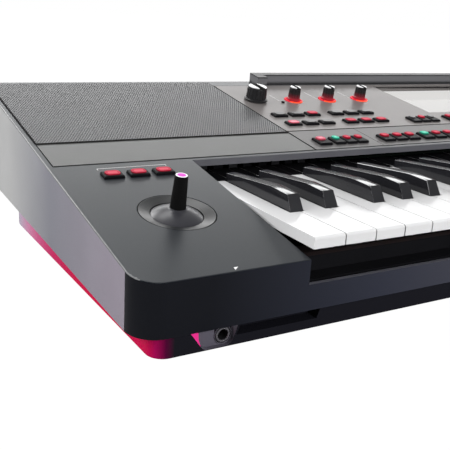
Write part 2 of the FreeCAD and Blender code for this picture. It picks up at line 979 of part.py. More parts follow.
def panel_board():
    top = -board_drop
    low = top - board_thickness
    board = deck_plate(panel_left + ledge, panel_right - ledge, panel_front + board_front_inset,
                       panel_rear - ledge / 2, low, top)
    window = deck_plate(display_left - window_margin, display_right + window_margin,
                        display_front - window_margin, panel_rear, low - past, top + past)
    return [board.cut(window), deck_plate(*block_board_corners(), low, top)]


def display_glass():
    return display_plate(display_wall, -display_drop - glass_thickness, -display_drop)


def display_module():
    top = -display_drop - glass_thickness
    return display_plate(display_wall, top - module_thickness, top)


def music_rest_rail():
    # A channel with an upright slot, closed at both ends
    slot_rear = slot_front + slot_width
    slot_low = deck_z(slot_front) - slot_depth
    foot = off_deck(panel_rear, -rail_drop)
    back = [(depth, roof_z(depth, -rail_height)), (depth, roof_z(depth, rail_drop))]
    channel = [foot, off_deck(panel_rear, 0), (slot_front, deck_z(slot_front)), (slot_front, slot_low),
               (slot_rear, slot_low), (slot_rear, roof_z(slot_rear, -rail_height))] + back
    end = [foot, off_deck(panel_rear, rail_height)] + back
    left, right = rail_left + rail_end, rail_right - rail_end
    return fused([side_prism(channel, left, right), side_prism(end, rail_left, left),
                  side_prism(end, right, rail_right)])


def speaker(u):
    top = -lip_thickness
    low = top - speaker_depth
    rim = speaker_opening + speaker_flange
    mouth = speaker_opening - cone_edge
    outline = [(0, top - cone_depth), (cone_cap, top - cone_depth), (mouth, top - flange_depth), (mouth, top),
               (rim, top), (rim, top - flange_depth), (speaker_opening, top - basket_depth),
               (magnet_radius, low + magnet_depth), (magnet_radius, low), (0, low)]
    return on_deck(turned(outline), u, speaker_v)


def main_board():
    top = main_board_bottom + board_thickness
    board = block(main_board_left, main_board_right, main_board_front, main_board_rear,
                  main_board_bottom, top)
    front = main_board_front + chip_inset
    lefts = [main_board_left + chip_inset + chip_pitch * i for i in range(chip_count)]
    chips = [block(u, u + chip_size, front, front + chip_size, top - board_thickness / 2, top + chip_height)
             for u in lefts]
    return fused([board] + chips)


# Knobs and joystick

def knob(place, radius, skirt, height):
    shoulder = knob_gap + knob_skirt_height
    neck = radius * (1 - knob_draft)
    outline = [(0, -shaft_reach), (shaft_radius, -shaft_reach), (shaft_radius, knob_gap),
               (radius + skirt, knob_gap), (radius + skirt, shoulder), (radius, shoulder + knob_shoulder),
               (neck, height - knob_crown), (neck - knob_crown, height), (0, height)]
    return on_deck(turned(outline), *place)


def potentiometer(place):
    half = pot_size / 2
    low = -shaft_reach - shaft_end_gap
    body = Part.makeBox(pot_size, pot_size, board_drop - pot_top_drop, Vector(-half, -half, -board_drop))
    bushing_low = -pot_top_drop - bite / 2
    bushing = Part.makeCylinder(bushing_radius, -bushing_drop - bushing_low, Vector(0, 0, bushing_low))
    bore = Part.makeCylinder(shaft_radius + shaft_clearance, board_drop, Vector(0, 0, low))
    return on_deck(fused([body, bushing]).cut(bore), *place)


def knob_light_ring(u, v):
    ring = deck_disc(u, v, ring_outer, -panel_thickness, ring_rise)
    return ring.cut(deck_disc(u, v, ring_inner, -panel_thickness - past, ring_rise + past))


# The joystick's two axes cross at the centre of its dome
stick_centre = dome_rise - dome_radius
bezel_bottom = -wall - dish_flange_thickness
base_bottom = stick_centre - base_drop
gimbal_inner = lever_base_radius + gimbal_gap
gimbal_outer = gimbal_inner + gimbal_wall
ear_inner = gimbal_outer + ear_gap
ear_outer = ear_inner + ear_thickness


def joystick_bezel():
    lip = -dish_depth - dish_lip
    opening = math.sqrt(dome_radius ** 2 - (lip - stick_centre) ** 2) + dome_gap
    rim = dish_radius + dish_flange
    outline = [(dish_radius, 0), (opening, -dish_depth), (opening, lip), (dish_radius - bite, bezel_bottom),
               (rim, bezel_bottom), (rim, -wall), (dish_radius, -wall)]
    return on_deck(turned(outline), *stick_place)


def joystick_base():
    start = base_bottom - bite
    under = Vector(0, 0, base_bottom - base_plate)
    pieces = [Part.makeCylinder(dish_radius + dish_flange, base_plate, under)]
    for left in (ear_inner, -ear_outer):
        pieces.append(Part.makeBox(ear_thickness, ear_width, base_drop + ear_rise + bite,
                                   Vector(left, -ear_width / 2, start)))
    ring = dish_radius + dish_flange / 2 + base_post_clearance
    for turn in (45, 135, 225, 315):
        spot = Vector(ring * math.cos(math.radians(turn)), ring * math.sin(math.radians(turn)), start)
        pieces.append(Part.makeCylinder(base_post_radius, bezel_bottom - start, spot))
    bore = Part.makeCylinder(gimbal_pin + pin_clearance, 4 * ear_outer,
                             Vector(-2 * ear_outer, 0, stick_centre), Vector(1, 0, 0))
    return on_deck(fused(pieces).cut(bore), *stick_place)


def joystick_gimbal():
    low = stick_centre - gimbal_height / 2
    ring = Part.makeCylinder(gimbal_outer, gimbal_height, Vector(0, 0, low))
    ring = ring.cut(Part.makeCylinder(gimbal_inner, gimbal_height + 2 * past, Vector(0, 0, low - past)))
    root = gimbal_inner + bite
    pieces = [ring]
    for side in (-1, 1):
        pieces.append(Part.makeCylinder(gimbal_pin, ear_outer - root, Vector(side * root, 0, stick_centre),
                                        Vector(side, 0, 0)))
        pieces.append(Part.makeCylinder(gimbal_pin, root - pin_end_gap, Vector(0, side * root, stick_centre),
                                        Vector(0, -side, 0)))
    return on_deck(fused(pieces), *stick_place)


def joystick_lever():
    ball_centre = Vector(0, 0, stick_centre)
    edge = stick_centre + dome_radius * math.cos(math.radians(dome_edge_angle))
    shell = Part.makeSphere(dome_radius, ball_centre)
    shell = shell.cut(Part.makeSphere(dome_radius - dome_shell, ball_centre))
    size = 4 * dome_radius
    shell = shell.cut(Part.makeBox(size, size, size, Vector(-size / 2, -size / 2, edge - size)))
    foot = dome_rise - dome_shell / 2
    stick = Part.makeCone(lever_base_radius, lever_top_radius, lever_top - foot, Vector(0, 0, foot))
    tail = stick_centre - lever_tail
    shaft = Part.makeCylinder(lever_base_radius, foot - tail, Vector(0, 0, tail))
    bore = Part.makeCylinder(gimbal_pin + pin_clearance, 4 * lever_base_radius,
                             Vector(0, -2 * lever_base_radius, stick_centre), Vector(0, 1, 0))
    return on_deck(fused([shell, stick, shaft]).cut(bore), *stick_place)


def joystick_cap():
    return deck_disc(*stick_place, lever_top_radius, lever_top, lever_top + cap_thickness)


# Sockets

def headphone_jack():
    z = floor + jack_height
    bushing = along_y(jack_u, jack_face, jack_seat + bite, jack_bushing, z)
    body = block(jack_u - jack_body_half, jack_u + jack_body_half, jack_seat, jack_seat + jack_body_length,
                 floor + wall + jack_clearance, z + jack_body_rise)
    return fused([bushing, body]).cut(along_y(jack_u, jack_face - past, jack_face + jack_depth, jack_bore, z))


def rear_jack(u, bore_depth):
    z = floor + socket_height
    seat = depth - wall
    half = rear_body_half
    bushing = along_y(u, seat - bite, depth, jack_bushing, z)
    body = block(u - half, u + half, seat - rear_body_length, seat, z - half, z + half)
    return fused([bushing, body]).cut(along_y(u, depth - bore_depth, depth + past, jack_bore, z))


def power_inlet():
    body = rear_jack(inlet_place, inlet_depth)
    root = depth - inlet_depth - bite
    pin = along_y(inlet_place, root, depth - inlet_pin_drop, inlet_pin, floor + socket_height)
    return fused([body, pin])


def usb_block(margin, v1, v2):
    z = floor + socket_height
    half = usb_width / 2 + margin
    tall = usb_height / 2 + margin
    return block(usb_place - half, usb_place + half, v1, v2, z - tall, z + tall)


def usb_shell(gap, v1, v2):
    return usb_block(usb_wall + gap, v1, v2)


def usb_socket():
    seat = depth - wall
    body = usb_block(usb_wall + usb_flange, seat - usb_length, seat)
    return fused([body, usb_shell(0, seat - bite, depth)]).cut(usb_block(0, depth - usb_depth, depth + past))


def power_button():
    return along_y(power_place, depth - power_length, depth, power_radius, floor + socket_height)


def power_switch():
    z = floor + socket_height
    half = rear_body_half
    face = depth - power_length - power_travel - power_gap
    body = block(power_place - half, power_place + half, face - power_body_length, face, z - half, z + half)
    ears = [block(u, u + power_ear, face - power_body_length / 2, depth - wall, z - half, z + half)
            for u in (power_place - half - power_ear / 2, power_place + half - power_ear / 2)]
    return fused([body] + ears)


def rear_sockets():
    jacks = [rear_jack(u, jack_depth) for u in socket_places]
    return jacks + [usb_socket(), power_inlet(), power_switch()]


# Every node of the assembly
nodes = {
    "upper_case": upper_case(),
    "lower_case": lower_case(),
    "rubber_feet": rubber_feet(),
    "case_screws": [case_screw(u, v) for u, v in screw_places()],
    "main_panel": main_panel(),
    "lower_panel": lower_panel(),
    "left_strip_panel": inlaid(panel_border, panel_left, panel_front, strip_rear),
    "right_strip_panel": inlaid(*mirrored(panel_border, panel_left), panel_front, strip_rear),
    "left_speaker_grille": inlaid(panel_border, panel_left, strip_rear, grille_rear),
    "right_speaker_grille": inlaid(*mirrored(panel_border, panel_left), strip_rear, grille_rear),
    "left_speaker": speaker(speaker_u),
    "right_speaker": speaker(width - speaker_u),
    "display_glass": display_glass(),
    "display_module": display_module(),
    "music_rest_rail": music_rest_rail(),
    "main_board": main_board(),
    "panel_board": panel_board(),
    "key_contact_board": key_contact_board(),
    "key_frame": key_frame(),
    "key_pivot_rod": key_pivot_rod(),
    "key_stop_felts": key_stop_felts(),
    "key_spring_comb": key_spring_comb(),
    "joystick_bezel": joystick_bezel(),
    "joystick_base": joystick_base(),
    "joystick_gimbal": joystick_gimbal(),
    "joystick_lever": joystick_lever(),
    "joystick_cap": joystick_cap(),
    "volume_knob": knob(volume_place, volume_radius, volume_skirt, volume_height),
    "knob_light_rings": [knob_light_ring(u, v) for u, v in control_places],
    "knob_potentiometers": [potentiometer(place) for place in [volume_place] + control_places],
    "headphone_jack": headphone_jack(),
    "rear_sockets": rear_sockets(),
    "power_button": power_button(),
    "effect_buttons": button_bank(effect_buttons),
    "arranger_buttons": button_bank(arranger_buttons),
    "voice_buttons": button_bank(voice_buttons),
    "intro_buttons": button_bank(intro_buttons),
    "variation_buttons": button_bank(variation_buttons),
    "memory_buttons": button_bank(memory_buttons),
    "menu_buttons": button_bank(menu_buttons),
}

for index, place in enumerate(control_places, start=1):
    nodes["control_knob_%d" % index] = knob(place, control_radius, 0, control_height)

for index, place in enumerate(block_buttons, start=1):
    nodes["block_button_%d" % index] = button(place)

# The lowest octave has a node for each key, and the rest are two sets
for number, name in enumerate(natural_names):
    nodes["key_" + name] = natural_key(number)
for name in black_centres:
    nodes["key_" + name + "_sharp"] = sharp_key(0, name)
nodes["upper_white_keys"] = [natural_key(number) for number in range(octave_naturals, white_count)]
nodes["upper_black_keys"] = [sharp_key(number, name) for number in range(1, octaves)
                             for name in black_centres]

os.makedirs("parts", exist_ok=True)
for name, shape in nodes.items():
    solids = shape if isinstance(shape, list) else [shape]
    Part.makeCompound(solids).exportStep("parts/" + name + ".step")
    print(name, sum(len(s.Solids) for s in solids), all(s.isValid() for s in solids))
print("overall size", round(width, 2), round(depth, 2), "nodes", len(nodes))
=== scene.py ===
import json
import math
import bpy
from mathutils import Matrix, Vector

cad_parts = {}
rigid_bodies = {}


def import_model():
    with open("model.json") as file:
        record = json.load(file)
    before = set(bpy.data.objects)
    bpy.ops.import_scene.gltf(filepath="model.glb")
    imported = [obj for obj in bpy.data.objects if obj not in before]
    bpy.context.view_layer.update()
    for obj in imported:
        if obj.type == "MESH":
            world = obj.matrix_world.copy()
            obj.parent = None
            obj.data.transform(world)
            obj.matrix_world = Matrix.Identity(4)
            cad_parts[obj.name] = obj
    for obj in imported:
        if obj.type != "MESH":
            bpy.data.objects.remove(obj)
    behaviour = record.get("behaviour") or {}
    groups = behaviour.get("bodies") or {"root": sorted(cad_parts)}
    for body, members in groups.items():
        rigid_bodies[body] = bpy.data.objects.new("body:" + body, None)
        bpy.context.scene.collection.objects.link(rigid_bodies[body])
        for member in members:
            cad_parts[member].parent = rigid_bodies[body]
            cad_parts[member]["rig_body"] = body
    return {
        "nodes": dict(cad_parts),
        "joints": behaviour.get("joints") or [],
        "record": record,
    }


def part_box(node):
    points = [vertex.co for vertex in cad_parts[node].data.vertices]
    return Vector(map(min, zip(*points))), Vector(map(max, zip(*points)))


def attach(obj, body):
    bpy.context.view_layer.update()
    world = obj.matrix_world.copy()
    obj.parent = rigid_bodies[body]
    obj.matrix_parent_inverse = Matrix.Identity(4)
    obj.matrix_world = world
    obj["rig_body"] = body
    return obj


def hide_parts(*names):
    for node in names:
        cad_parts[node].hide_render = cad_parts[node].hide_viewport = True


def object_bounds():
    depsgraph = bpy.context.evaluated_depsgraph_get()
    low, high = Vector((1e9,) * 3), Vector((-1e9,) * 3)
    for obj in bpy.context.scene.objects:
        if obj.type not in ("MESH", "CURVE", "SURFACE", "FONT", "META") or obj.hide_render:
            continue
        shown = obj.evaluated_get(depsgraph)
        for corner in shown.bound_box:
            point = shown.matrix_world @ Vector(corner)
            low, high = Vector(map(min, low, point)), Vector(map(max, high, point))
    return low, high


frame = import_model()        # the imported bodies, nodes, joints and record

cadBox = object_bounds()     # the solids' box, before anything is dressed
record = frame["record"]
nodes = frame["nodes"]
mm = 0.001
close = 0.01 * mm        # nearer than this counts as the same place
weld = 0.002 * mm        # points nearer than this are merged
faceUp = 0.99            # a face whose normal rises more than this is level


# Deck: every control lies square to it, so a button's own travel gives its tilt
pressAxis = next(j["axis"] for j in frame["joints"] if j["name"] == "effect_buttons_press")
deckUp = -Vector(pressAxis).normalized()
deckTilt = math.atan2(-deckUp.y, deckUp.z)
flatten = Matrix.Rotation(-deckTilt, 3, "X")     # lays the deck level
print("deck tilt", round(math.degrees(deckTilt), 2), "degrees")


# Small hand tools
def lengths(look, *names):
    # Entries of a piece's dictionary, from millimetres to metres
    return [look[name] * mm for name in names]


def enterEdit():
    bpy.ops.object.mode_set(mode="EDIT")


def leaveEdit():
    bpy.ops.object.mode_set(mode="OBJECT")


def clearSelection():
    if bpy.context.object and bpy.context.object.mode != "OBJECT":
        leaveEdit()
    bpy.ops.object.select_all(action="DESELECT")


def makeActive(piece):
    clearSelection()
    piece.select_set(True)
    bpy.context.view_layer.objects.active = piece


def editAll(piece):
    makeActive(piece)
    enterEdit()
    bpy.ops.mesh.select_all(action="SELECT")


def newestPiece(name):
    piece = bpy.context.object
    piece.name = name
    piece.data.name = name
    return piece


def pick(piece, kind, wanted):
    # Selects the faces, edges or points that a test wants, and stays in edit mode
    makeActive(piece)
    enterEdit()
    bpy.ops.mesh.select_mode(type=kind)
    bpy.ops.mesh.select_all(action="DESELECT")
    leaveEdit()
    mesh = piece.data
    if kind == "FACE":
        for face in mesh.polygons:
            face.select = wanted(face)
    elif kind == "EDGE":
        for edge in mesh.edges:
            edge.select = wanted(*(mesh.vertices[i].co for i in edge.vertices))
    else:
        for point in mesh.vertices:
            point.select = wanted(point.co)
    enterEdit()


def bevelEdges(piece, width, segments, wanted):
    pick(piece, "EDGE", wanted)
    bpy.ops.mesh.bevel(offset=width, segments=segments, affect="EDGES")
    leaveEdit()


def shiftPoints(piece, step, wanted):
    pick(piece, "VERT", wanted)
    bpy.ops.transform.translate(value=step)
    leaveEdit()


def cutAt(piece, place, outward, **ways):
    editAll(piece)
    bpy.ops.mesh.bisect(plane_co=place, plane_no=outward, **ways)
    leaveEdit()


def applyPlace(piece):
    makeActive(piece)
    bpy.ops.object.transform_apply(location=True, rotation=True, scale=True)


def layOnDeck(piece, place=None):
    if place is not None:
        piece.location = place
    applyPlace(piece)
    piece.rotation_euler = (deckTilt, 0, 0)
    applyPlace(piece)


def joinPieces(pieces, name):
    clearSelection()
    for piece in pieces:
        piece.select_set(True)
    bpy.context.view_layer.objects.active = pieces[0]
    if len(pieces) > 1:
        bpy.ops.object.join()
    return newestPiece(name)


def copyPiece(source, name):
    piece = bpy.data.objects.new(name, source.data.copy())
    bpy.context.scene.collection.objects.link(piece)
    return piece


def boxPiece(name, low, high):
    clearSelection()
    bpy.ops.mesh.primitive_cube_add(size=1)
    piece = newestPiece(name)
    piece.scale = [b - a for a, b in zip(low, high)]
    piece.location = [(a + b) / 2 for a, b in zip(low, high)]
    applyPlace(piece)
    return piece


def softenEdges(piece, width, segments=2, angle=35):
    makeActive(piece)
    if width:
        bevel = piece.modifiers.new("softEdges", "BEVEL")
        bevel.width = width
        bevel.segments = segments
        bevel.limit_method = "ANGLE"
        bevel.angle_limit = math.radians(angle)
        bpy.ops.object.modifier_apply(modifier=bevel.name)
    bpy.ops.object.shade_smooth_by_angle(angle=math.radians(angle))
    evened = piece.modifiers.new("evenNormals", "WEIGHTED_NORMAL")
    evened.keep_sharp = True
    bpy.ops.object.modifier_apply(modifier=evened.name)


def extent(places):
    return Vector(map(min, zip(*places))), Vector(map(max, zip(*places)))


def deckBox(piece):
    return extent([flatten @ v.co for v in piece.data.vertices])


def nodeDeckBox(node):
    return deckBox(nodes[node])


def looseBoxes(piece):
    makeActive(piece)
    bpy.ops.object.duplicate()
    enterEdit()
    bpy.ops.mesh.select_all(action="SELECT")
    bpy.ops.mesh.separate(type="LOOSE")
    leaveEdit()
    boxes = [deckBox(part) for part in bpy.context.selected_objects]
    bpy.ops.object.delete()
    return sorted(boxes, key=lambda ends: (-round(ends[0].y, 3), ends[0].x))


def latheProfile(name, points, steps=64):
    # A line of (radius, height) points, drawn by extruding one vertex, then spun
    bpy.ops.mesh.primitive_plane_add(size=mm)
    piece = newestPiece(name)
    enterEdit()
    bpy.ops.mesh.select_mode(type="VERT")
    bpy.ops.mesh.merge(type="CENTER")
    here = Vector((0, 0, 0))
    for index, (radius, height) in enumerate(points):
        step = Vector((radius, 0, height)) - here
        here = Vector((radius, 0, height))
        if index == 0:
            bpy.ops.transform.translate(value=step)
        else:
            bpy.ops.mesh.extrude_region_move(TRANSFORM_OT_translate={"value": step})
    bpy.ops.mesh.select_all(action="SELECT")
    bpy.ops.mesh.spin(steps=steps, angle=math.tau, center=(0, 0, 0), axis=(0, 0, 1))
    bpy.ops.mesh.select_all(action="SELECT")
    bpy.ops.mesh.remove_doubles(threshold=weld)
    bpy.ops.mesh.normals_make_consistent(inside=False)
    leaveEdit()
    return piece


def turned(name, look, points, steps=64, angle=35):
    piece = latheProfile(name, points, steps)
    setFinish(piece, look)
    softenEdges(piece, 0, angle=angle)
    return piece


def arcPoints(centre, radius, start, end, count):
    turns = [math.radians(start + (end - start) * i / count) for i in range(count + 1)]
    return [(centre[0] + radius * math.sin(t), centre[1] + radius * math.cos(t)) for t in turns]


def setFinish(piece, *looks):
    piece.data.materials.clear()
    for look in looks:
        piece.data.materials.append(finish[look])


def paintFaces(piece, look, wanted):
    piece.data.materials.append(finish[look])
    for face in piece.data.polygons:
        if wanted(face):
            face.material_index = len(piece.data.materials) - 1


def slotOf(node):
    return next(s["material_slot"] for s in record["subparts"] if s["node"] == node)


def bodyOf(node):
    return nodes[node]["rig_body"]


def camelName(node):
    first, *others = node.split("_")
    return first + "".join(word.capitalize() for word in others)


def standsFor(piece, node):
    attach(piece, bodyOf(node))
    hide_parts(node)
    return piece


def trimOn(piece, body):
    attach(piece, body)
    return piece


def wire(tree, *pairs):
    for output, into in pairs:
        tree.links.new(output, into)


# Shared effects, each a node group
groupLook = {"cloudDetail": 3, "cloudSpan": {"From Min": 0.3, "From Max": 0.7}, "grainDetail": 2,
             "grainMiddle": 0.5, "bump": 0.5}


def newGroup(name, inputs, outputs):
    group = bpy.data.node_groups.new(name, "ShaderNodeTree")
    for label, value in inputs.items():
        kind = "NodeSocketColor" if label == "Color" else "NodeSocketFloat"
        group.interface.new_socket(name=label, in_out="INPUT", socket_type=kind).default_value = value
    for label, kind in outputs.items():
        group.interface.new_socket(name=label, in_out="OUTPUT", socket_type="NodeSocket" + kind)
    return group, group.nodes.new("NodeGroupInput"), group.nodes.new("NodeGroupOutput")


def addNode(tree, kind, operation=None):
    node = tree.nodes.new("ShaderNode" + kind)
    if operation:
        node.operation = operation
    return node


def setValues(node, values):
    for label, value in values.items():
        node.inputs[label].default_value = value
    return node


def objectNoise(tree, detail):
    noise = setValues(addNode(tree, "TexNoise"), {"Detail": detail})
    tree.links.new(addNode(tree, "TexCoord").outputs["Object"], noise.inputs["Vector"])
    return noise


def mottleGroup():
    # Lightens and darkens a colour in soft clouds
    group, given, result = newGroup("softMottle", {"Color": (0.5, 0.5, 0.5, 1), "Amount": 0.1, "Scale": 40.0},
                                    {"Color": "Color"})
    noise = objectNoise(group, groupLook["cloudDetail"])
    spread = setValues(addNode(group, "MapRange"), groupLook["cloudSpan"])
    for operation, limit in (("SUBTRACT", "To Min"), ("ADD", "To Max")):
        around = setValues(addNode(group, "Math", operation), {0: 1})
        wire(group, (given.outputs["Amount"], around.inputs[1]), (around.outputs[0], spread.inputs[limit]))
    tint = addNode(group, "VectorMath", "SCALE")
    wire(group, (given.outputs["Scale"], noise.inputs["Scale"]),
         (noise.outputs["Fac"], spread.inputs["Value"]), (given.outputs["Color"], tint.inputs[0]),
         (spread.outputs["Result"], tint.inputs["Scale"]), (tint.outputs["Vector"], result.inputs["Color"]))
    return group


def grainGroup():
    # Moulded grain: a small bump, and a roughness that varies with it
    group, given, result = newGroup(
        "fineGrain", {"Scale": 900.0, "Roughness": 0.5, "Spread": 0.1, "Depth": 0.02 * mm},
        {"Roughness": "Float", "Normal": "Vector"})
    noise = objectNoise(group, groupLook["grainDetail"])
    offset = setValues(addNode(group, "Math", "SUBTRACT"), {1: groupLook["grainMiddle"]})
    rough = addNode(group, "Math", "MULTIPLY_ADD")
    bump = setValues(addNode(group, "Bump"), {"Strength": groupLook["bump"]})
    wire(group, (given.outputs["Scale"], noise.inputs["Scale"]), (noise.outputs["Fac"], offset.inputs[0]),
         (offset.outputs[0], rough.inputs[0]), (given.outputs["Spread"], rough.inputs[1]),
         (given.outputs["Roughness"], rough.inputs[2]), (noise.outputs["Fac"], bump.inputs["Height"]),
         (given.outputs["Depth"], bump.inputs["Distance"]), (rough.outputs[0], result.inputs["Roughness"]),
         (bump.outputs["Normal"], result.inputs["Normal"]))
    return group


softMottle = mottleGroup()
fineGrain = grainGroup()


def placeGroup(tree, group, values):
    node = addNode(tree, "Group")
    node.node_tree = group
    return setValues(node, values)


def newMaterial(name, constants):
    material = bpy.data.materials.new(name)
    material.use_nodes = True
    tree = material.node_tree
    return material, tree, setValues(tree.nodes["Principled BSDF"], constants)


def dressShader(tree, shader, color, grain):
    # Colour from a ramp or the clouds, roughness and bump from the moulded grain
    moulded = placeGroup(tree, fineGrain, grain)
    tree.links.new(color, shader.inputs["Base Color"])
    for label in ("Roughness", "Normal"):
        tree.links.new(moulded.outputs[label], shader.inputs[label])


def opaque(color):
    return (*color, 1)


def grey(tone):
    return (tone,) * 3


usualLook = {"mottle": 0.06, "mottleScale": 30.0, "grainScale": 900.0, "spread": 0.08, "depth": 0.02,
             "gloss": 0.5, "metal": 0.0}
litLook = {"roughness": 0.5, "depth": 0.004, "gloss": 0.12, "strength": 1.0}   # lamps hardly mirror the room


def grainedFinish(name, changes):
    # Colour in soft clouds, fine grain, and plain values straight on the shader
    look = {**usualLook, **changes}
    material, tree, shader = newMaterial(name, {"Specular IOR Level": look["gloss"],
                                                "Metallic": look["metal"]})
    mottle = placeGroup(tree, softMottle, {"Color": opaque(look["color"]), "Amount": look["mottle"],
                                           "Scale": look["mottleScale"]})
    dressShader(tree, shader, mottle.outputs["Color"],
                {"Scale": look["grainScale"], "Roughness": look["roughness"], "Spread": look["spread"],
                 "Depth": look["depth"] * mm})
    return material


def litFinish(name, changes):
    look = {**litLook, **changes}
    material = grainedFinish(name, look)
    setValues(material.node_tree.nodes["Principled BSDF"],
              {"Emission Color": opaque(look["glow"]), "Emission Strength": look["strength"]})
    return material


finishes = {
    "panelTaupe": {"color": (0.138, 0.127, 0.124), "roughness": 0.38, "mottle": 0.04},
    "stripGrey": {"color": (0.064, 0.066, 0.064), "roughness": 0.38, "mottle": 0.04},
    "bandGrey": {"color": (0.07, 0.067, 0.067), "roughness": 0.38, "mottle": 0.04},
    "edgeSilver": {"color": (0.12, 0.122, 0.125), "roughness": 0.3},
    "lipSatin": {"color": (0.075, 0.075, 0.085), "roughness": 0.4},
    "slipSatin": {"color": (0.085, 0.085, 0.1), "roughness": 0.4},
    "seamBlack": {"color": (0.006, 0.006, 0.006), "roughness": 0.8, "gloss": 0.1},
    "grilleSteel": {"color": (0.098, 0.099, 0.102), "roughness": 0.4, "mottle": 0.05},
    "backingBlack": {"color": (0.012, 0.012, 0.013), "roughness": 0.95, "grainScale": 2500.0, "depth": 0.08},
    "speakerDark": {"color": (0.02, 0.02, 0.02), "roughness": 0.7},
    "keyIvory": {"color": (0.56, 0.56, 0.565), "roughness": 0.22, "spread": 0.02, "mottle": 0.01,
                 "depth": 0.001, "gloss": 0.18},
    "keyEbony": {"color": (0.012, 0.012, 0.014), "roughness": 0.09, "spread": 0.03, "mottle": 0.1,
                 "depth": 0.002},
    "ebonyFront": {"color": (0.018, 0.018, 0.02), "roughness": 0.3, "depth": 0.002},
    "ebonyEdge": {"color": (0.6, 0.6, 0.61), "roughness": 0.3, "depth": 0.002},
    "buttonRubber": {"color": (0.005, 0.005, 0.006), "roughness": 0.45, "depth": 0.03, "gloss": 0.12},
    "knobRubber": {"color": (0.014, 0.014, 0.015), "roughness": 0.36, "depth": 0.02},
    "knobTop": {"color": (0.55, 0.55, 0.56), "roughness": 0.28, "depth": 0.01},
    "stickSatin": {"color": (0.03, 0.03, 0.035), "roughness": 0.3, "spread": 0.02, "depth": 0.0006},
    "stickMatt": {"color": (0.005, 0.005, 0.005), "roughness": 0.55, "depth": 0.03, "gloss": 0.1},
    "dishSatin": {"color": (0.014, 0.015, 0.016), "roughness": 0.3, "spread": 0.02, "depth": 0.001},
    "frameBlack": {"color": (0.006, 0.006, 0.007), "roughness": 0.9, "gloss": 0.03},
    "rubberFoot": {"color": (0.02, 0.02, 0.02), "roughness": 0.85, "depth": 0.05},
    "darkFelt": {"color": (0.009, 0.006, 0.006), "roughness": 0.95, "grainScale": 1800.0, "depth": 0.2},
    "plainSteel": {"color": (0.55, 0.55, 0.56), "roughness": 0.3, "metal": 1.0},
    "boardGreen": {"color": (0.015, 0.09, 0.035), "roughness": 0.35, "mottle": 0.2, "mottleScale": 150.0},
    "boardDark": {"color": (0.002, 0.003, 0.0025), "roughness": 0.8, "gloss": 0.03},
    "darkSteel": {"color": (0.012, 0.012, 0.013), "roughness": 0.6, "gloss": 0.1},
    "dishViolet": {"color": (0.075, 0.07, 0.09), "roughness": 0.3, "depth": 0.01},
    "socketBlack": {"color": (0.015, 0.015, 0.016), "roughness": 0.45},
    "socketRing": {"color": (0.28, 0.27, 0.3), "roughness": 0.25, "metal": 0.8},
    "markWhite": {"color": (0.7, 0.7, 0.7), "roughness": 0.5},
    "lensDark": {"color": (0.03, 0.028, 0.03), "roughness": 0.3, "depth": 0.004},
}
finish = {name: grainedFinish(name, look) for name, look in finishes.items()}

lights = {
    "edgeRed": {"color": (0.06, 0.001, 0.004), "glow": (0.16, 0.003, 0.012)},
    "bodyRed": {"color": (0.1, 0.003, 0.01), "glow": (0.44, 0.016, 0.045)},
    "coreRed": {"color": (0.15, 0.02, 0.03), "glow": (0.55, 0.065, 0.1)},
    "edgePink": {"color": (0.1, 0.02, 0.025), "glow": (0.25, 0.03, 0.05)},
    "bodyPink": {"color": (0.15, 0.04, 0.05), "glow": (0.6, 0.1, 0.16)},
    "corePink": {"color": (0.2, 0.1, 0.11), "glow": (0.64, 0.26, 0.32)},
    "edgeMint": {"color": (0.005, 0.05, 0.035), "glow": (0.008, 0.14, 0.09)},
    "bodyMint": {"color": (0.015, 0.1, 0.07), "glow": (0.03, 0.46, 0.3)},
    "coreMint": {"color": (0.05, 0.12, 0.1), "glow": (0.16, 0.62, 0.45)},
    "glintPink": {"color": (0.3, 0.01, 0.1), "glow": (0.45, 0.02, 0.14)},
    "ringRed": {"color": (0.3, 0.008, 0.012), "glow": (0.55, 0.01, 0.03)},
    "ringOrange": {"color": (0.4, 0.05, 0.01), "glow": (1.0, 0.06, 0.015), "strength": 1.2},
    "capMagenta": {"color": (0.1, 0.02, 0.08), "glow": (0.74, 0.07, 0.6)},
    "screenWhite": {"color": (0.02, 0.02, 0.02), "glow": (0.86, 0.85, 0.83), "strength": 0.86, "gloss": 0.0},
    "capWhite": {"color": (0.5, 0.48, 0.5), "glow": (0.7, 0.66, 0.72), "strength": 0.55},
}
finish.update({name: litFinish(name, look) for name, look in lights.items()})


def axisRamp(tree, source, axis, stops):
    # A colour ramp along one axis, with stops in metres
    first, last = stops[0][0], stops[-1][0]
    parts = addNode(tree, "SeparateXYZ")
    span = setValues(addNode(tree, "MapRange"), {"From Min": first, "From Max": last})
    ramp = addNode(tree, "ValToRGB")
    elements = ramp.color_ramp.elements
    while len(elements) < len(stops):
        elements.new(0.5)
    for element, (place, color) in zip(elements, stops):
        element.position = (place - first) / (last - first)
        element.color = opaque(color)
    wire(tree, (source, parts.inputs[0]), (parts.outputs[axis], span.inputs["Value"]),
         (span.outputs["Result"], ramp.inputs["Fac"]))
    return ramp.outputs["Color"]


def mirroredPlace(tree):
    # Object coordinates, and the same with X made positive, so that both ends of the case are alike
    place = addNode(tree, "TexCoord").outputs["Object"]
    both = addNode(tree, "VectorMath", "ABSOLUTE")
    tree.links.new(place, both.inputs[0])
    return place, both.outputs["Vector"]


def mixColors(tree, first, second, mask=None):
    # Fades between two colours by a mask, or multiplies them where there is none
    mix = addNode(tree, "Mix")
    mix.data_type = "RGBA"
    if mask is None:
        mix.blend_type = "MULTIPLY"
        setValues(mix, {"Factor": 1})
    else:
        tree.links.new(mask, mix.inputs["Factor"])
    wire(tree, (first, mix.inputs["A"]), (second, mix.inputs["B"]))
    return mix.outputs["Result"]


def fromFront(stops):
    return [(cadBox[0].y + v * mm, tone) for v, tone in stops]


def fromEnd(stops):
    return [(cadBox[1].x - inward * mm, tone) for inward, tone in stops]


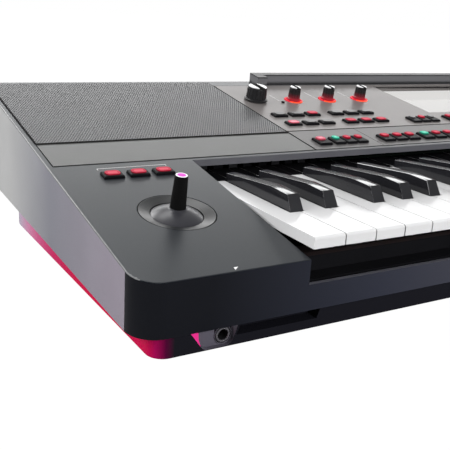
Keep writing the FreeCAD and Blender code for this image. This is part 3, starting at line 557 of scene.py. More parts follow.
caseLook = {
    "deck": (0.012, 0.0135, 0.0165), "tint": (0.91, 0.97, 1.0), "roughness": 0.34, "grainScale": 1100.0,
    "mottle": {"Amount": 0.05, "Scale": 25.0}, "wallGloss": 0.28,
    "cheekEdge": [(0.06, grey(0)), (0.04, grey(1))],
    # the end walls' tone along their depth is painted light and reflection
    "cheek": [(30, (0.235, 0.208, 0.25)), (150, (0.176, 0.176, 0.205)), (260, (0.37, 0.37, 0.37))],
    # the front walls' ramp across is painted light and shade
    "wall": [(0.14, (0.06, 0.06, 0.075)), (0.34, (0.02, 0.022, 0.034)), (0.46, (0.003, 0.0035, 0.006))],
    "wallDepth": 40.0, "wallTurn": (-0.05, 0.5), "edgeReach": 4.0, "edgeTurn": (0.2, 0.95),
    "lip": (150.0, 154.0), "lipTurn": -0.3, "slip": (34.0, 37.5), "slipDepth": 20.0, "slipTurn": 0.8}


def caseFinish():
    # The deck's colour, with both end walls painted lighter: painted light and reflection, lavender grey at
    # the front, darker in the middle and pale grey at the rear
    material, tree, shader = newMaterial("caseCharcoal", {"Specular Tint": opaque(caseLook["tint"])})
    place, mirrored = mirroredPlace(tree)
    deck = addNode(tree, "RGB").outputs[0]
    deck.default_value = opaque(caseLook["deck"])
    cheek = axisRamp(tree, place, "Y", fromFront(caseLook["cheek"]))
    outside = axisRamp(tree, mirrored, "X", fromEnd(caseLook["cheekEdge"]))
    mottle = placeGroup(tree, softMottle, caseLook["mottle"])
    tree.links.new(mixColors(tree, deck, cheek, outside), mottle.inputs["Color"])
    dressShader(tree, shader, mottle.outputs["Color"],
                {"Roughness": caseLook["roughness"], "Scale": caseLook["grainScale"]})
    return material


def wallShadingFinish():
    # Painted light and shade on the front walls: lighter towards the middle, darker towards the ends
    material, tree, shader = newMaterial("wallInk", {"Specular IOR Level": caseLook["wallGloss"]})
    tone = axisRamp(tree, mirroredPlace(tree)[1], "X", caseLook["wall"])
    dressShader(tree, shader, tone, {"Roughness": caseLook["roughness"]})
    return material


# The tub's gloss finish, coloured along its sides from red at the front to pale lilac behind, black along its
# front; the pale lilac towards the rear is a painted reflection
lacquerSheenLook = {
    "sides": [(15, (0.62, 0.006, 0.025)), (45, (0.42, 0.006, 0.05)), (120, (0.42, 0.008, 0.06)),
              (170, (0.46, 0.02, 0.11)), (205, (0.5, 0.08, 0.2)), (232, (0.5, 0.2, 0.33)),
              (255, (0.4, 0.34, 0.43))],
    "front": [(24, (0.008, 0.008, 0.011)), (19, (0.06, 0.002, 0.025)), (14, (0.3, 0.003, 0.07)),
              (9, (0.62, 0.006, 0.05))],
    "turn": [(11, grey(0)), (7, grey(1))], "gloss": 0.04,
    "grain": {"Roughness": 0.2, "Spread": 0.04, "Depth": 0.003 * mm}}


def lacquerSheenFinish():
    material, tree, shader = newMaterial("lowerLacquer", {"Specular IOR Level": lacquerSheenLook["gloss"]})
    place, mirrored = mirroredPlace(tree)
    side = axisRamp(tree, place, "Y", fromFront(lacquerSheenLook["sides"]))
    front, turn = (axisRamp(tree, mirrored, "X", fromEnd(lacquerSheenLook[part])) for part in ("front", "turn"))
    dressShader(tree, shader, mixColors(tree, front, side, turn), lacquerSheenLook["grain"])
    return material


glassLook = {"clear": {"Transmission Weight": 1.0, "IOR": 1.02, "Base Color": (0.97, 0.97, 0.98, 1)},
             "grain": {"Roughness": 0.06, "Spread": 0.03, "Depth": 0.001 * mm}}


def glassFinish():
    material, tree, shader = newMaterial("displayGlass", glassLook["clear"])
    grain = placeGroup(tree, fineGrain, glassLook["grain"])
    tree.links.new(grain.outputs["Roughness"], shader.inputs["Roughness"])
    return material


def deckPlace(tree):
    # Object coordinates turned flat with the deck
    flat = addNode(tree, "VectorRotate")
    flat.rotation_type = "X_AXIS"
    setValues(flat, {"Angle": -deckTilt})
    tree.links.new(addNode(tree, "TexCoord").outputs["Object"], flat.inputs["Vector"])
    return flat.outputs["Vector"]


# Rail: grey along its upper half, dark below and on its crest
railLook = {"bands": [(0.0, 0.012), (0.45, 0.02), (0.62, 0.115), (0.9, 0.11), (0.96, 0.03)], "blue": 1.06,
            "roughness": 0.4}


def railFinish():
    material, tree, shader = newMaterial("railGrey", {})
    low, high = nodeDeckBox("music_rest_rail")
    stops = [(low.z + share * (high.z - low.z), (tone, tone, railLook["blue"] * tone))
             for share, tone in railLook["bands"]]
    tone = axisRamp(tree, deckPlace(tree), "Z", stops)
    dressShader(tree, shader, tone, {"Roughness": railLook["roughness"]})
    return material


finish.update(railGrey=railFinish(), wallInk=wallShadingFinish(), caseCharcoal=caseFinish(),
              lowerLacquer=lacquerSheenFinish(), displayGlass=glassFinish())
print("finishes made", len(finish))


# Dressed copies of the solids: merged, edges softened, then finished
flatAngle = math.radians(0.2)


def mergedCopy(node, name):
    piece = copyPiece(nodes[node], name)
    editAll(piece)
    bpy.ops.mesh.remove_doubles(threshold=weld)
    bpy.ops.mesh.dissolve_limited(angle_limit=flatAngle)
    bpy.ops.mesh.customdata_custom_splitnormals_clear()
    leaveEdit()
    return piece


def dressNode(node, name, look, edge):
    piece = mergedCopy(node, name)
    setFinish(piece, look)
    softenEdges(piece, edge * mm)
    return standsFor(piece, node)


shells = {
    "upper_case": ("upperCaseShell", "caseCharcoal", 0),
    "lower_case": ("lowerCaseTub", "lowerLacquer", 0),
    "main_panel": ("controlPanel", "panelTaupe", 0.12),
    "lower_panel": ("panelBand", "bandGrey", 0.12),
    "left_strip_panel": ("leftStrip", "stripGrey", 0.12),
    "right_strip_panel": ("rightStrip", "stripGrey", 0.12),
    "music_rest_rail": ("musicRestRail", "railGrey", 0.4),
    "rubber_feet": ("rubberFeet", "rubberFoot", 0.6),
    "display_glass": ("displayGlassPlate", "displayGlass", 0.2),
    "rear_sockets": ("rearSockets", "socketBlack", 0.15),
    "power_button": ("powerButton", "socketBlack", 0.5),
}
dressed = {node: dressNode(node, *settings) for node, settings in shells.items()}


def toneCase():
    # Painted light and shade on the case: shaded front walls, a painted highlight on the end edges, and the
    # lip over the keys and the slip below them painted lighter
    case = dressed["upper_case"]
    front = cadBox[0].y
    wallRear, slipRear = (front + caseLook[part] * mm for part in ("wallDepth", "slipDepth"))
    lipFront, lipRear = (front + v * mm for v in caseLook["lip"])
    slipLow, slipHigh = (z * mm for z in caseLook["slip"])
    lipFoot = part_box("key_c")[1].z
    endEdge = cadBox[1].x - caseLook["edgeReach"] * mm
    forward, upright = caseLook["wallTurn"]
    leastUp, mostUp = caseLook["edgeTurn"]
    paintFaces(case, "wallInk", lambda face: face.normal.y < forward and abs(face.normal.z) < upright
               and face.center.y < wallRear)
    # painted highlight: a pale grey on the rounded deck edge near both ends
    paintFaces(case, "edgeSilver", lambda face: leastUp < face.normal.z < mostUp
               and abs(face.center.x) > endEdge)
    # painted light: the lip's front face over the keys in a lighter grey than the case
    paintFaces(case, "lipSatin", lambda face: face.normal.y < caseLook["lipTurn"]
               and lipFront < face.center.y < lipRear and face.center.z > lipFoot)
    # painted light: the slip's top face below the keys in a lighter grey
    paintFaces(case, "slipSatin", lambda face: face.normal.z > caseLook["slipTurn"]
               and slipLow < face.center.z < slipHigh and face.center.y < slipRear)


toneCase()
print("shells dressed", len(dressed))


# Keys: rounded front edges on the white ones, round tops and painted highlights on the top edges of the black
# ones,
# and painted shade: black on the keys behind what the player touches, where the lip shades them
keyLook = {"whiteEdge": 0.22, "blackEdge": 0.6, "segments": 3, "playEnd": 132.2,
           "frontRound": 1.9, "frontSteps": 6, "frontReach": 0.05,
           "crown": 0.25, "crownStep": 2.2, "crownFrom": 3.0, "crownCuts": ((-1, 0.75), (0, 1), (1, 0.75)),
           "frontTurn": -0.7, "edgeUp": (0.2, 0.985), "edgeAside": 0.17, "edgeForward": -0.5}
keyShadeStart = cadBox[0].y + keyLook["playEnd"] * mm


def roundFront(piece):
    low, high = extent([v.co for v in piece.data.vertices])
    reach = keyLook["frontReach"] * mm
    bevelEdges(piece, keyLook["frontRound"] * mm, keyLook["frontSteps"],
               lambda a, b: max(a.y, b.y) < low.y + reach and min(a.z, b.z) > high.z - reach)


def crownTops(piece):
    # Three cuts along each black key, lifted so that its top is round across
    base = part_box("key_c")[1].z + keyLook["crownFrom"] * mm
    for low, high in looseBoxes(piece):
        for side, share in keyLook["crownCuts"]:
            cut = (low.x + high.x) / 2 + side * keyLook["crownStep"] * mm
            cutAt(piece, (cut, 0, 0), (1, 0, 0))
            shiftPoints(piece, (0, 0, share * keyLook["crown"] * mm),
                        lambda p: abs(p.x - cut) < close and p.y < keyShadeStart and p.z > base)


def dressKey(node):
    white = slotOf(node) == "key_ivory"
    piece = mergedCopy(node, camelName(node))
    if white:
        roundFront(piece)
    else:
        crownTops(piece)
    setFinish(piece, "keyIvory" if white else "keyEbony")
    # painted shade: black on the keys' rear parts under the lip
    paintFaces(piece, "frameBlack", lambda face: face.center.y > keyShadeStart)
    softenEdges(piece, keyLook["whiteEdge" if white else "blackEdge"] * mm, keyLook["segments"])
    if not white:
        leastUp, mostUp = keyLook["edgeUp"]
        paintFaces(piece, "ebonyFront", lambda face: face.normal.y < keyLook["frontTurn"])
        # painted highlight: the bevels along the black keys' top edges in pale grey
        paintFaces(piece, "ebonyEdge", lambda face: leastUp < face.normal.z < mostUp
                   and abs(face.normal.x) > keyLook["edgeAside"] and face.normal.y > keyLook["edgeForward"]
                   and face.center.y < keyShadeStart)
    return standsFor(piece, node)


keyNodes = [n for n in nodes if slotOf(n) in ("key_ivory", "key_ebony")]
for node in keyNodes:
    dressKey(node)
print("keys dressed", len(keyNodes))


# Push buttons, each a rubber cap with a lens let into its top
lensShape = {"capEdge": 0.35, "sideMargin": 1.7, "depth": 7.4, "rearMargin": 0.6, "wideRise": 0.6,
             "tallRise": 1.1, "tallFrom": 12.0, "sink": 0.5, "round": 0.42, "roundSteps": 6, "pillow": 0.75,
             "pillowSteps": 4, "zone": 0.11, "coreShare": 0.1, "topTurn": 0.85}
litStates = {
    "block_button_1": "Red", "block_button_2": "Red", "block_button_3": "Red",
    "effect_buttons": "Dark Dark Red Dark Dark Dark",
    "arranger_buttons": "Pink Dark Dark Red Red Red",
    "voice_buttons": "Dark Dark Dark Red Dark Dark Red Dark Dark Dark Red Dark",
    "intro_buttons": "Pink Mint Red Red Red Red Mint Pink",
    "variation_buttons": "Red Red Red Mint Red Red",
    "memory_buttons": "Red Red Red Mint Red Red",
    "menu_buttons": "Dark Red Dark Red Dark Dark",
}
lensModels = {}


def lensModel(width, depth, rise):
    # One lens of a size, with an edge, a body and a bright core as its three materials
    key = tuple(round(size / mm, 1) for size in (width, depth, rise))
    if key in lensModels:
        return lensModels[key]
    small = min(width, depth)
    foot = -lensShape["sink"] * mm
    lens = boxPiece("lensModel", (-width / 2, -depth / 2, foot), (width / 2, depth / 2, rise))
    bevelEdges(lens, lensShape["round"] * small, lensShape["roundSteps"], lambda a, b: abs(a.z - b.z) > close)
    bevelEdges(lens, lensShape["pillow"] * rise, lensShape["pillowSteps"],
               lambda a, b: min(a.z, b.z) > rise - close)
    pick(lens, "FACE", lambda face: face.normal.z > faceUp)
    for step in ("body", "core"):
        bpy.ops.mesh.inset(thickness=lensShape["zone"] * small)
    leaveEdit()
    bpy.ops.object.shade_smooth()
    for face in lens.data.polygons:
        outward = max(abs(face.center.x) / width, abs(face.center.y) / depth) * 2
        if face.normal.z > lensShape["topTurn"]:
            face.material_index = 2 if outward < lensShape["coreShare"] else 1
    lensModels[key] = lens
    return lens


def placeLens(box, state):
    low, high = box
    kind = "tall" if high.y - low.y > lensShape["tallFrom"] * mm else "wide"
    depth = lensShape["depth"] * mm
    width = high.x - low.x - 2 * lensShape["sideMargin"] * mm
    lens = copyPiece(lensModel(width, depth, lensShape[kind + "Rise"] * mm), "lens")
    for zone in ("edge", "body", "core"):
        lens.data.materials.append(finish["lensDark" if state == "Dark" else zone + state])
    lens.location = ((low.x + high.x) / 2, high.y - lensShape["rearMargin"] * mm - depth / 2, high.z)
    return lens


def dressBank(node, states):
    name = camelName(node)
    caps = dressNode(node, name, "buttonRubber", lensShape["capEdge"])
    boxes = looseBoxes(caps)
    lenses = [placeLens(box, states[i % len(states)]) for i, box in enumerate(boxes)]
    glow = joinPieces(lenses, name + "Lenses")
    layOnDeck(glow)
    trimOn(glow, bodyOf(node))
    return len(boxes)


buttonCount = sum(dressBank(node, states.split()) for node, states in litStates.items())
for model in lensModels.values():
    makeActive(model)
    bpy.ops.object.delete()
print("buttons with lenses", buttonCount)


# Knobs: ribbed sides and two half-moons on top with a painted reflection in pale grey round their crowns, and
# a sloping notch between them
knobLook = {"ribDepth": 0.55, "ribEdge": 0.1, "taper": 0.94, "skirtHeight": 2.0, "gap": 0.8, "shaft": 3.0,
            "footRound": 0.3, "skirtDrop": 0.5, "lap": 0.6, "moonLap": 0.2, "crownBand": 0.9, "low": 1.8,
            "moonRim": [(0.3, 0.7), (0.0, 0.15), (-0.4, 0.04)], "notchShare": 0.34, "notchDeep": 2.4,
            "notchRear": 0.3, "notchInset": 0.2, "notchFall": 0.9, "glowHeight": 8.0,
            "glow": [(0.0, (0.5, 0.008, 0.02)), (0.5, (0.12, 0.0, 0.006)), (1.0, (0, 0, 0))]}
litKnob = {"ribs": 13, "skirt": 0.3, "look": "knobLit"}
knobShapes = {"volume_knob": {"ribs": 18, "skirt": 1.5, "look": "knobRubber"},
              "control_knob_1": litKnob, "control_knob_2": litKnob, "control_knob_3": litKnob}


def litKnobFinish():
    # Black rubber that picks up the ring's red light near the deck
    material = grainedFinish("knobLit", finishes["knobRubber"])
    tree = material.node_tree
    shader = setValues(tree.nodes["Principled BSDF"], {"Emission Strength": 1.0})
    level = nodeDeckBox("lower_panel")[1].z
    tall = knobLook["glowHeight"] * mm
    stops = [(level + share * tall, tone) for share, tone in knobLook["glow"]]
    tree.links.new(axisRamp(tree, deckPlace(tree), "Z", stops), shader.inputs["Emission Color"])
    return material


finish["knobLit"] = litKnobFinish()


def knobBody(radius, shoulder, top, ribs, look):
    # Every second side of a many-sided post is drawn out into a rib
    clearSelection()
    bpy.ops.mesh.primitive_cylinder_add(vertices=2 * ribs, radius=radius, depth=top - shoulder,
                                        location=(0, 0, (top + shoulder) / 2))
    body = newestPiece("knobBody")
    applyPlace(body)
    pick(body, "FACE", lambda face: face.normal.z > faceUp)
    bpy.ops.transform.resize(value=(knobLook["taper"], knobLook["taper"], 1), center_override=(0, 0, top))
    leaveEdit()
    pick(body, "FACE", lambda face: abs(face.normal.z) < faceUp and face.index % 2 == 0)
    bpy.ops.mesh.extrude_faces_move(TRANSFORM_OT_shrink_fatten={"value": knobLook["ribDepth"] * mm})
    leaveEdit()
    setFinish(body, look)
    softenEdges(body, knobLook["ribEdge"] * mm, 1)
    return body


def knobFoot(low, base, shoulder, outer, radius, look):
    shaft, soft, drop, lap = lengths(knobLook, "shaft", "footRound", "skirtDrop", "lap")
    return turned("knobFoot", look, [(0, low), (shaft, low), (shaft, base), (outer - soft, base),
                                     (outer, base + soft), (outer, shoulder - drop),
                                     (radius, shoulder + lap), (0, shoulder + lap)])


def knobMoon(rim, top, side):
    # One half of the top, cut off straight along the notch
    foot = top - (knobLook["notchDeep"] + knobLook["moonLap"]) * mm
    edgeLine = [(rim + out * mm, top - down * mm) for out, down in knobLook["moonRim"]]
    moon = latheProfile("knobMoon", [(0, foot), (edgeLine[0][0], foot)] + edgeLine + [(0, top)])
    edge = side * knobLook["notchShare"] * rim
    cutAt(moon, (edge, 0, 0), (-side, 0, 0), clear_outer=True, use_fill=True)
    setFinish(moon, "knobRubber")
    # painted reflection: pale grey on the crown band of each half-moon
    paintFaces(moon, "knobTop", lambda face: face.center.z > top - knobLook["crownBand"] * mm
               and abs(face.center.x) > abs(edge) + close)
    softenEdges(moon, 0)
    return moon


def knobNotch(rim, top):
    # The notch's floor falls towards the front
    deep, rear, inset = lengths(knobLook, "notchDeep", "notchRear", "notchInset")
    half = knobLook["notchShare"] * rim
    floor = boxPiece("knobNotch", (-half, inset - rim, top - rear - deep), (half, rim - inset, top - rear))
    shiftPoints(floor, (0, 0, -knobLook["notchFall"] * deep), lambda p: p.z > top - deep / 2 and p.y < 0)
    setFinish(floor, "stickMatt")
    softenEdges(floor, knobLook["ribEdge"] * mm)
    return floor


def ribbedKnob(node, ribs, skirt, look):
    low, high = nodeDeckBox(node)
    outer = (high.x - low.x) / 2
    base = nodeDeckBox("lower_panel")[1].z + knobLook["gap"] * mm
    shoulder = base + knobLook["skirtHeight"] * mm
    top = high.z - knobLook["low"] * mm
    radius = outer - (skirt + knobLook["ribDepth"]) * mm
    rim = radius * knobLook["taper"]
    knob = joinPieces([knobBody(radius, shoulder, top - knobLook["notchDeep"] * mm, ribs, look),
                       knobFoot(low.z, base, shoulder, outer, radius, look), knobMoon(rim, top, -1),
                       knobMoon(rim, top, 1), knobNotch(rim, top)], camelName(node))
    layOnDeck(knob, ((low.x + high.x) / 2, (low.y + high.y) / 2, 0))
    return standsFor(knob, node)


for node, shape in knobShapes.items():
    ribbedKnob(node, **shape)
print("knobs turned", len(knobShapes))


# Light rings: red all round, orange where the lamp sits at the front
ringLook = {"edge": 0.25, "frontShare": 0.55}


def lightRings():
    rings = mergedCopy("knob_light_rings", "knobLightRings")
    setFinish(rings, "ringRed", "ringOrange")
    softenEdges(rings, ringLook["edge"] * mm)
    boxes = looseBoxes(rings)
    for face in rings.data.polygons:
        centre = flatten @ face.center
        for low, high in boxes:
            if low.x <= centre.x <= high.x and low.y <= centre.y <= high.y:
                reach = (high.y - low.y) / 2
                forward = (low.y + high.y) / 2 - centre.y
                face.material_index = 1 if forward > ringLook["frontShare"] * reach else 0
    return standsFor(rings, "knob_light_rings")


lightRings()
print("light rings lit")


# Joystick: dish, dome with lever, and lit cap; pairs are steps across and down, in millimetres
stickLook = {"steps": 96, "smooth": 50, "flange": 3.0, "rimGap": 0.4, "opening": 17.1, "dishDepth": 1.9,
             "dishRim": [(0, 0.35), (0.12, 0.08), (0.5, 0.02)], "dishShares": (0.12, 0.4, 0.7, 0.95, 1),
             "dishUnder": [(0.1, 0.5), (2.4, 3.1)], "dishFoot": 1.0, "domeGap": 0.6, "domeTop": 2.7,
             "skirtTurn": 63.0, "skirtSteps": 5, "domeSteps": 12, "neckTurn": 14.0, "neckRise": 3.2,
             "neckPull": 0.05, "neckSteps": 8, "wall": 1.2, "leverTop": 4.2, "leverFoot": 5.1,
             "shaftFoot": [(-1.0, 1.0), (0.02, 0.4)], "shaftSteps": 48}
capLook = {"inset": 0.3, "ringInner": 2.7, "rimRound": 0.4, "ringDrop": 0.1, "paleShare": 0.6,
           "ringSteps": 48, "lensEdge": 0.02, "lensShare": 0.7, "lensDrop": 0.03, "lensSteps": 32}


def stickCentre():
    low, high = nodeDeckBox("joystick_bezel")
    return Vector(((low.x + high.x) / 2, (low.y + high.y) / 2, 0)), high.z


def makeDish():
    low, high = nodeDeckBox("joystick_bezel")
    middle, level = stickCentre()
    rim = (high.x - low.x) / 2 - (stickLook["flange"] + stickLook["rimGap"]) * mm
    opening, deep = lengths(stickLook, "opening", "dishDepth")
    edge = [(rim - across * mm, level - down * mm) for across, down in stickLook["dishRim"]]
    hollow = [(rim - (rim - opening) * t, level - deep * t) for t in stickLook["dishShares"]]
    under = [(opening + across * mm, level - deep - down * mm) for across, down in stickLook["dishUnder"]]
    foot = [(rim - stickLook["dishFoot"] * mm, low.z), (rim, low.z)]
    dish = turned("joystickDish", "dishSatin", foot[1:] + edge + hollow + under + foot, stickLook["steps"],
                  stickLook["smooth"])
    layOnDeck(dish, middle)
    return standsFor(dish, "joystick_bezel")


def stickPivot():
    joint = next(j for j in frame["joints"] if j["name"] == "joystick_left_right")
    return (flatten @ Vector(joint["pos_m"])).z


def domeProfile(level, foot, neck):
    # A skirt round about the pivot, a flatter crown, then one smooth sweep into the lever
    pivot = stickPivot()
    opening = stickLook["opening"] * mm
    edge = level - stickLook["dishDepth"] * mm - pivot
    reach = math.hypot(opening, edge) - stickLook["domeGap"] * mm
    skirt = arcPoints((0, pivot), reach, stickLook["skirtTurn"], math.degrees(math.atan2(opening, edge)),
                      stickLook["skirtSteps"])
    rim = skirt[-1]
    crown = level + stickLook["domeTop"] * mm
    rise = crown - rim[1]
    curve = (rim[0] ** 2 + rise ** 2) / (2 * rise)
    rimTurn = math.degrees(math.asin(rim[0] / curve))
    dome = arcPoints((0, crown - curve), curve, rimTurn, stickLook["neckTurn"], stickLook["domeSteps"])[1:]
    start = dome[-1]
    pull = (foot + stickLook["neckPull"] * mm,
            start[1] + (start[0] - foot) * math.tan(math.radians(stickLook["neckTurn"])))
    sweep = []
    for i in range(1, stickLook["neckSteps"] + 1):
        t = i / stickLook["neckSteps"]
        keep, turn, go = (1 - t) ** 2, 2 * t * (1 - t), t ** 2
        sweep.append([keep * a + turn * b + go * c for a, b, c in zip(start, pull, (foot, neck))])
    wall = stickLook["wall"] * mm
    hem = (skirt[0][0] - wall, skirt[0][1])
    inside = [(foot - wall, neck), (foot - wall, level - wall), (rim[0] - wall, rim[1] - wall), hem]
    return [hem] + skirt + dome + sweep + inside


def makeLever():
    top = nodeDeckBox("joystick_lever")[1].z
    middle, level = stickCentre()
    foot, tip = lengths(stickLook, "leverFoot", "leverTop")
    neck = level + stickLook["neckRise"] * mm
    dome = turned("joystickDome", "stickSatin", domeProfile(level, foot, neck), stickLook["steps"],
                  stickLook["smooth"])
    root = [(foot + across * mm, neck - down * mm) for across, down in stickLook["shaftFoot"]]
    shaft = turned("leverShaft", "stickMatt", root + [(tip, top), (0, top)], stickLook["shaftSteps"])
    lever = joinPieces([dome, shaft], "joystickLever")
    layOnDeck(lever, middle)
    return standsFor(lever, "joystick_lever")


def makeCap():
    low, high = nodeDeckBox("joystick_cap")
    outer = (high.x - low.x) / 2 - capLook["inset"] * mm
    inner, soft = lengths(capLook, "ringInner", "rimRound")
    crown = high.z - capLook["ringDrop"] * mm
    ring = turned("capRing", "capWhite", [(inner, low.z), (outer, low.z), (outer, crown - soft),
                                          (outer - soft / 3, crown - soft / 3), (outer - soft, crown),
                                          (inner, crown), (inner, low.z)],
                  capLook["ringSteps"], stickLook["smooth"])
    paintFaces(ring, "stickMatt", lambda face: face.center.z < crown - capLook["paleShare"] * soft)
    lens = turned("capLens", "capMagenta", [(inner, low.z), (inner, crown + capLook["lensEdge"] * mm),
                                            (inner * capLook["lensShare"], high.z - capLook["lensDrop"] * mm),
                                            (0, high.z)], capLook["lensSteps"], stickLook["smooth"])
    cap = joinPieces([ring, lens], "joystickCap")
    layOnDeck(cap, stickCentre()[0])
    return standsFor(cap, "joystick_cap")


makeDish()
makeLever()
makeCap()
print("joystick turned")


# Speaker grilles: a sheet of six-sided holes over a black backing board
grilleLook = {"pitch": 2.18, "bar": 0.4, "sheet": 0.5, "backingDrop": 0.9, "backing": 0.6, "backingCuts": 6,
              "backingEdge": 0.2}


def holedSheet(name, low, high):
    pitch = grilleLook["pitch"] * mm
    rowStep = pitch * math.sqrt(3) / 2
    clearSelection()
    bpy.ops.mesh.primitive_circle_add(vertices=6, radius=pitch / math.sqrt(3), fill_type="NGON",
                                      location=(low.x, low.y, high.z))
    sheet = newestPiece(name)
    applyPlace(sheet)
    editAll(sheet)
    bpy.ops.mesh.inset(thickness=grilleLook["bar"] * mm)
    bpy.ops.mesh.extrude_region_move(TRANSFORM_OT_translate={"value": (0, 0, -grilleLook["sheet"] * mm)})
    bpy.ops.mesh.delete(type="ONLY_FACE")
    bpy.ops.mesh.select_all(action="SELECT")
    bpy.ops.mesh.duplicate_move(TRANSFORM_OT_translate={"value": (pitch / 2, rowStep, 0)})
    leaveEdit()
    for step, length in (((pitch, 0, 0), high.x - low.x), ((0, 2 * rowStep, 0), high.y - low.y)):
        spread = sheet.modifiers.new("holes", "ARRAY")
        spread.use_relative_offset = False
        spread.use_constant_offset = True
        spread.constant_offset_displace = step
        spread.count = math.ceil(length / max(step)) + 1
        spread.use_merge_vertices = True
        spread.merge_threshold = close
        bpy.ops.object.modifier_apply(modifier=spread.name)
    for place, outward in ((low, (-1, 0, 0)), (low, (0, -1, 0)), (high, (1, 0, 0)), (high, (0, 1, 0))):
        cutAt(sheet, place, outward, clear_outer=True)
    editAll(sheet)
    bpy.ops.mesh.remove_doubles(threshold=close)
    leaveEdit()
    return sheet


def perforatedGrille(node, name):
    low, high = nodeDeckBox(node)
    sheet = holedSheet(name, low, high)
    setFinish(sheet, "grilleSteel")
    layOnDeck(sheet)
    standsFor(sheet, node)
    level = high.z - grilleLook["backingDrop"] * mm
    half = grilleLook["backing"] * mm / 2
    backing = boxPiece(name + "Backing", (low.x, low.y, level - half), (high.x, high.y, level + half))
    editAll(backing)
    bpy.ops.mesh.subdivide(number_cuts=grilleLook["backingCuts"])
    leaveEdit()
    setFinish(backing, "backingBlack")
    softenEdges(backing, grilleLook["backingEdge"] * mm)
    layOnDeck(backing)
    trimOn(backing, "case")
    return len(sheet.data.polygons)


for node, name in (("left_speaker_grille", "leftGrille"), ("right_speaker_grille", "rightGrille")):
    print("grille faces", perforatedGrille(node, name))


# Headphone socket in its dish, and the rear sockets' steel rims
socketLook = {"edge": 0.25, "ring": (3.25, 4.6, 0.7), "collar": (5.15, 5.7, 0.5), "ringFoot": 0.3,
              "ringTurns": range(0, 181, 30), "steps": 48, "smooth": 50, "dishLeft": 24.0, "dishFront": 0.05,
              "dishEnd": (7.4, 3.0, 9.0), "glintFrom": 15.2, "rimRadius": 4.9, "rimDepth": 0.6}
phonesPlace = next(Vector(m["pos_m"]) for m in record["mounts"] if m["name"] == "headphone_socket")
dishLow = (phonesPlace.x - socketLook["dishLeft"] * mm,
           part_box("lower_case")[0].y + socketLook["dishFront"] * mm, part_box("rubber_feet")[1].z)
dishHigh = phonesPlace + mm * Vector(socketLook["dishEnd"])


def roundRing(name, look, inner, outer, rise):
    # A ring with a round front, lying on the socket's face
    middle, half = (inner + outer) / 2 * mm, (outer - inner) / 2 * mm
    turns = [math.radians(a) for a in socketLook["ringTurns"]]
    crown = [(middle + half * math.cos(t), rise * mm * math.sin(t)) for t in turns]
    back = -socketLook["ringFoot"] * mm
    foot = [(inner * mm, back), (outer * mm, back)]
    ring = turned(name, look, crown + foot + crown[:1], socketLook["steps"], socketLook["smooth"])
    ring.rotation_euler = (math.pi / 2, 0, 0)
    ring.location = (phonesPlace.x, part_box("headphone_jack")[0].y, phonesPlace.z)
    applyPlace(ring)
    return trimOn(ring, "case")


def inDish(face):
    return all(low < at < high for low, at, high in zip(dishLow, face.center, dishHigh))


def headphoneDish():
    dressNode("headphone_jack", "headphoneJack", "socketBlack", socketLook["edge"])
    roundRing("headphoneRing", "socketRing", *socketLook["ring"])
    roundRing("headphoneCollar", "dishViolet", *socketLook["collar"])
    tub = dressed["lower_case"]
    glint = phonesPlace.x - socketLook["glintFrom"] * mm
    # Painted reflections on the tub: the dish walls in a lighter violet grey, and a pink glint on its left
    # wall that glows as an emission
    paintFaces(tub, "dishViolet", inDish)
    paintFaces(tub, "glintPink", lambda face: inDish(face) and face.center.x < glint)


def rearRims():
    rear = cadBox[1].y - socketLook["rimDepth"] * mm
    reach = socketLook["rimRadius"] * mm
    for mount in record["mounts"]:
        if mount["kind"] == "bore" and mount["axis"][1] > 0:
            centre = Vector(mount["pos_m"])
            paintFaces(dressed["rear_sockets"], "plainSteel", lambda face: face.center.y > rear
                       and (face.center - centre).xz.length < reach)


headphoneDish()
rearRims()
print("sockets rimmed")


# Seams: painted shadow gaps, a fine dark bead in the joint round each inlaid panel and a wider one along each
# grille
seamLook = {"width": 0.55, "rise": 0.3, "sink": 0.6, "gap": 0.17, "grilleWidth": 2.2, "grilleRise": 0.5,
            "grilleBack": 0.35, "sideShare": 0.6, "edge": 0.08}


def seamBars(spans, level, rise):
    top, foot = level + rise * mm, level - seamLook["sink"] * mm
    return [boxPiece("seam", (left, front, foot), (right, rear, top)) for left, right, front, rear in spans]


def frameSeams(node):
    low, high = nodeDeckBox(node)
    half = seamLook["width"] * mm / 2
    gap = seamLook["gap"] * mm
    left, right, front, rear = low.x - gap, high.x + gap, low.y - gap, high.y + gap
    return seamBars([(left - half, right + half, front - half, front + half),
                     (left - half, left + half, front, rear),
                     (right - half, right + half, front, rear)], high.z, seamLook["rise"])


def grilleSeams(node):
    low, high = nodeDeckBox(node)
    half = seamLook["grilleWidth"] * mm / 2
    slim = seamLook["sideShare"] * half
    middle = low.y - seamLook["grilleBack"] * mm
    side = low.x if low.x < 0 else high.x
    return seamBars([(low.x, high.x, middle - half, middle + half),
                     (side - slim, side + slim, low.y, high.y)], high.z, seamLook["grilleRise"])


def makeSeams():
    bars = []
    for node in ("left_strip_panel", "right_strip_panel", "lower_panel", "main_panel"):
        bars += frameSeams(node)
    bars += grilleSeams("left_speaker_grille") + grilleSeams("right_speaker_grille")
    seams = joinPieces(bars, "panelSeams")
    # painted shade: the beads are near black
    setFinish(seams, "seamBlack")
    softenEdges(seams, seamLook["edge"] * mm, 1)
    layOnDeck(seams)
    trimOn(seams, "case")
    return len(bars)


print("seams laid", makeSeams())


# Printed marks: a bracket over the block's buttons, a triangle at the front edge, and lines and a dot
# beside the knobs
markLook = {"line": 0.34, "tick": 2.4, "behind": 8.8, "inset": 0.7, "film": 0.12, "lift": 0.01, "edge": 0.02,
            "triangle": 1.7, "triangleStretch": 1.5, "trianglePlace": (59.6, 3.3),
            "tipShift": (-1.6, 1.2, 0.0), "dividerLine": 0.35,
            "dividers": [(272.4, 284, 303), (321.5, 288, 311), (366.0, 288, 310)],
            "dot": (273.0, 278.5), "dotRadius": 1.7, "dotTall": 2.4, "dotSides": 24}


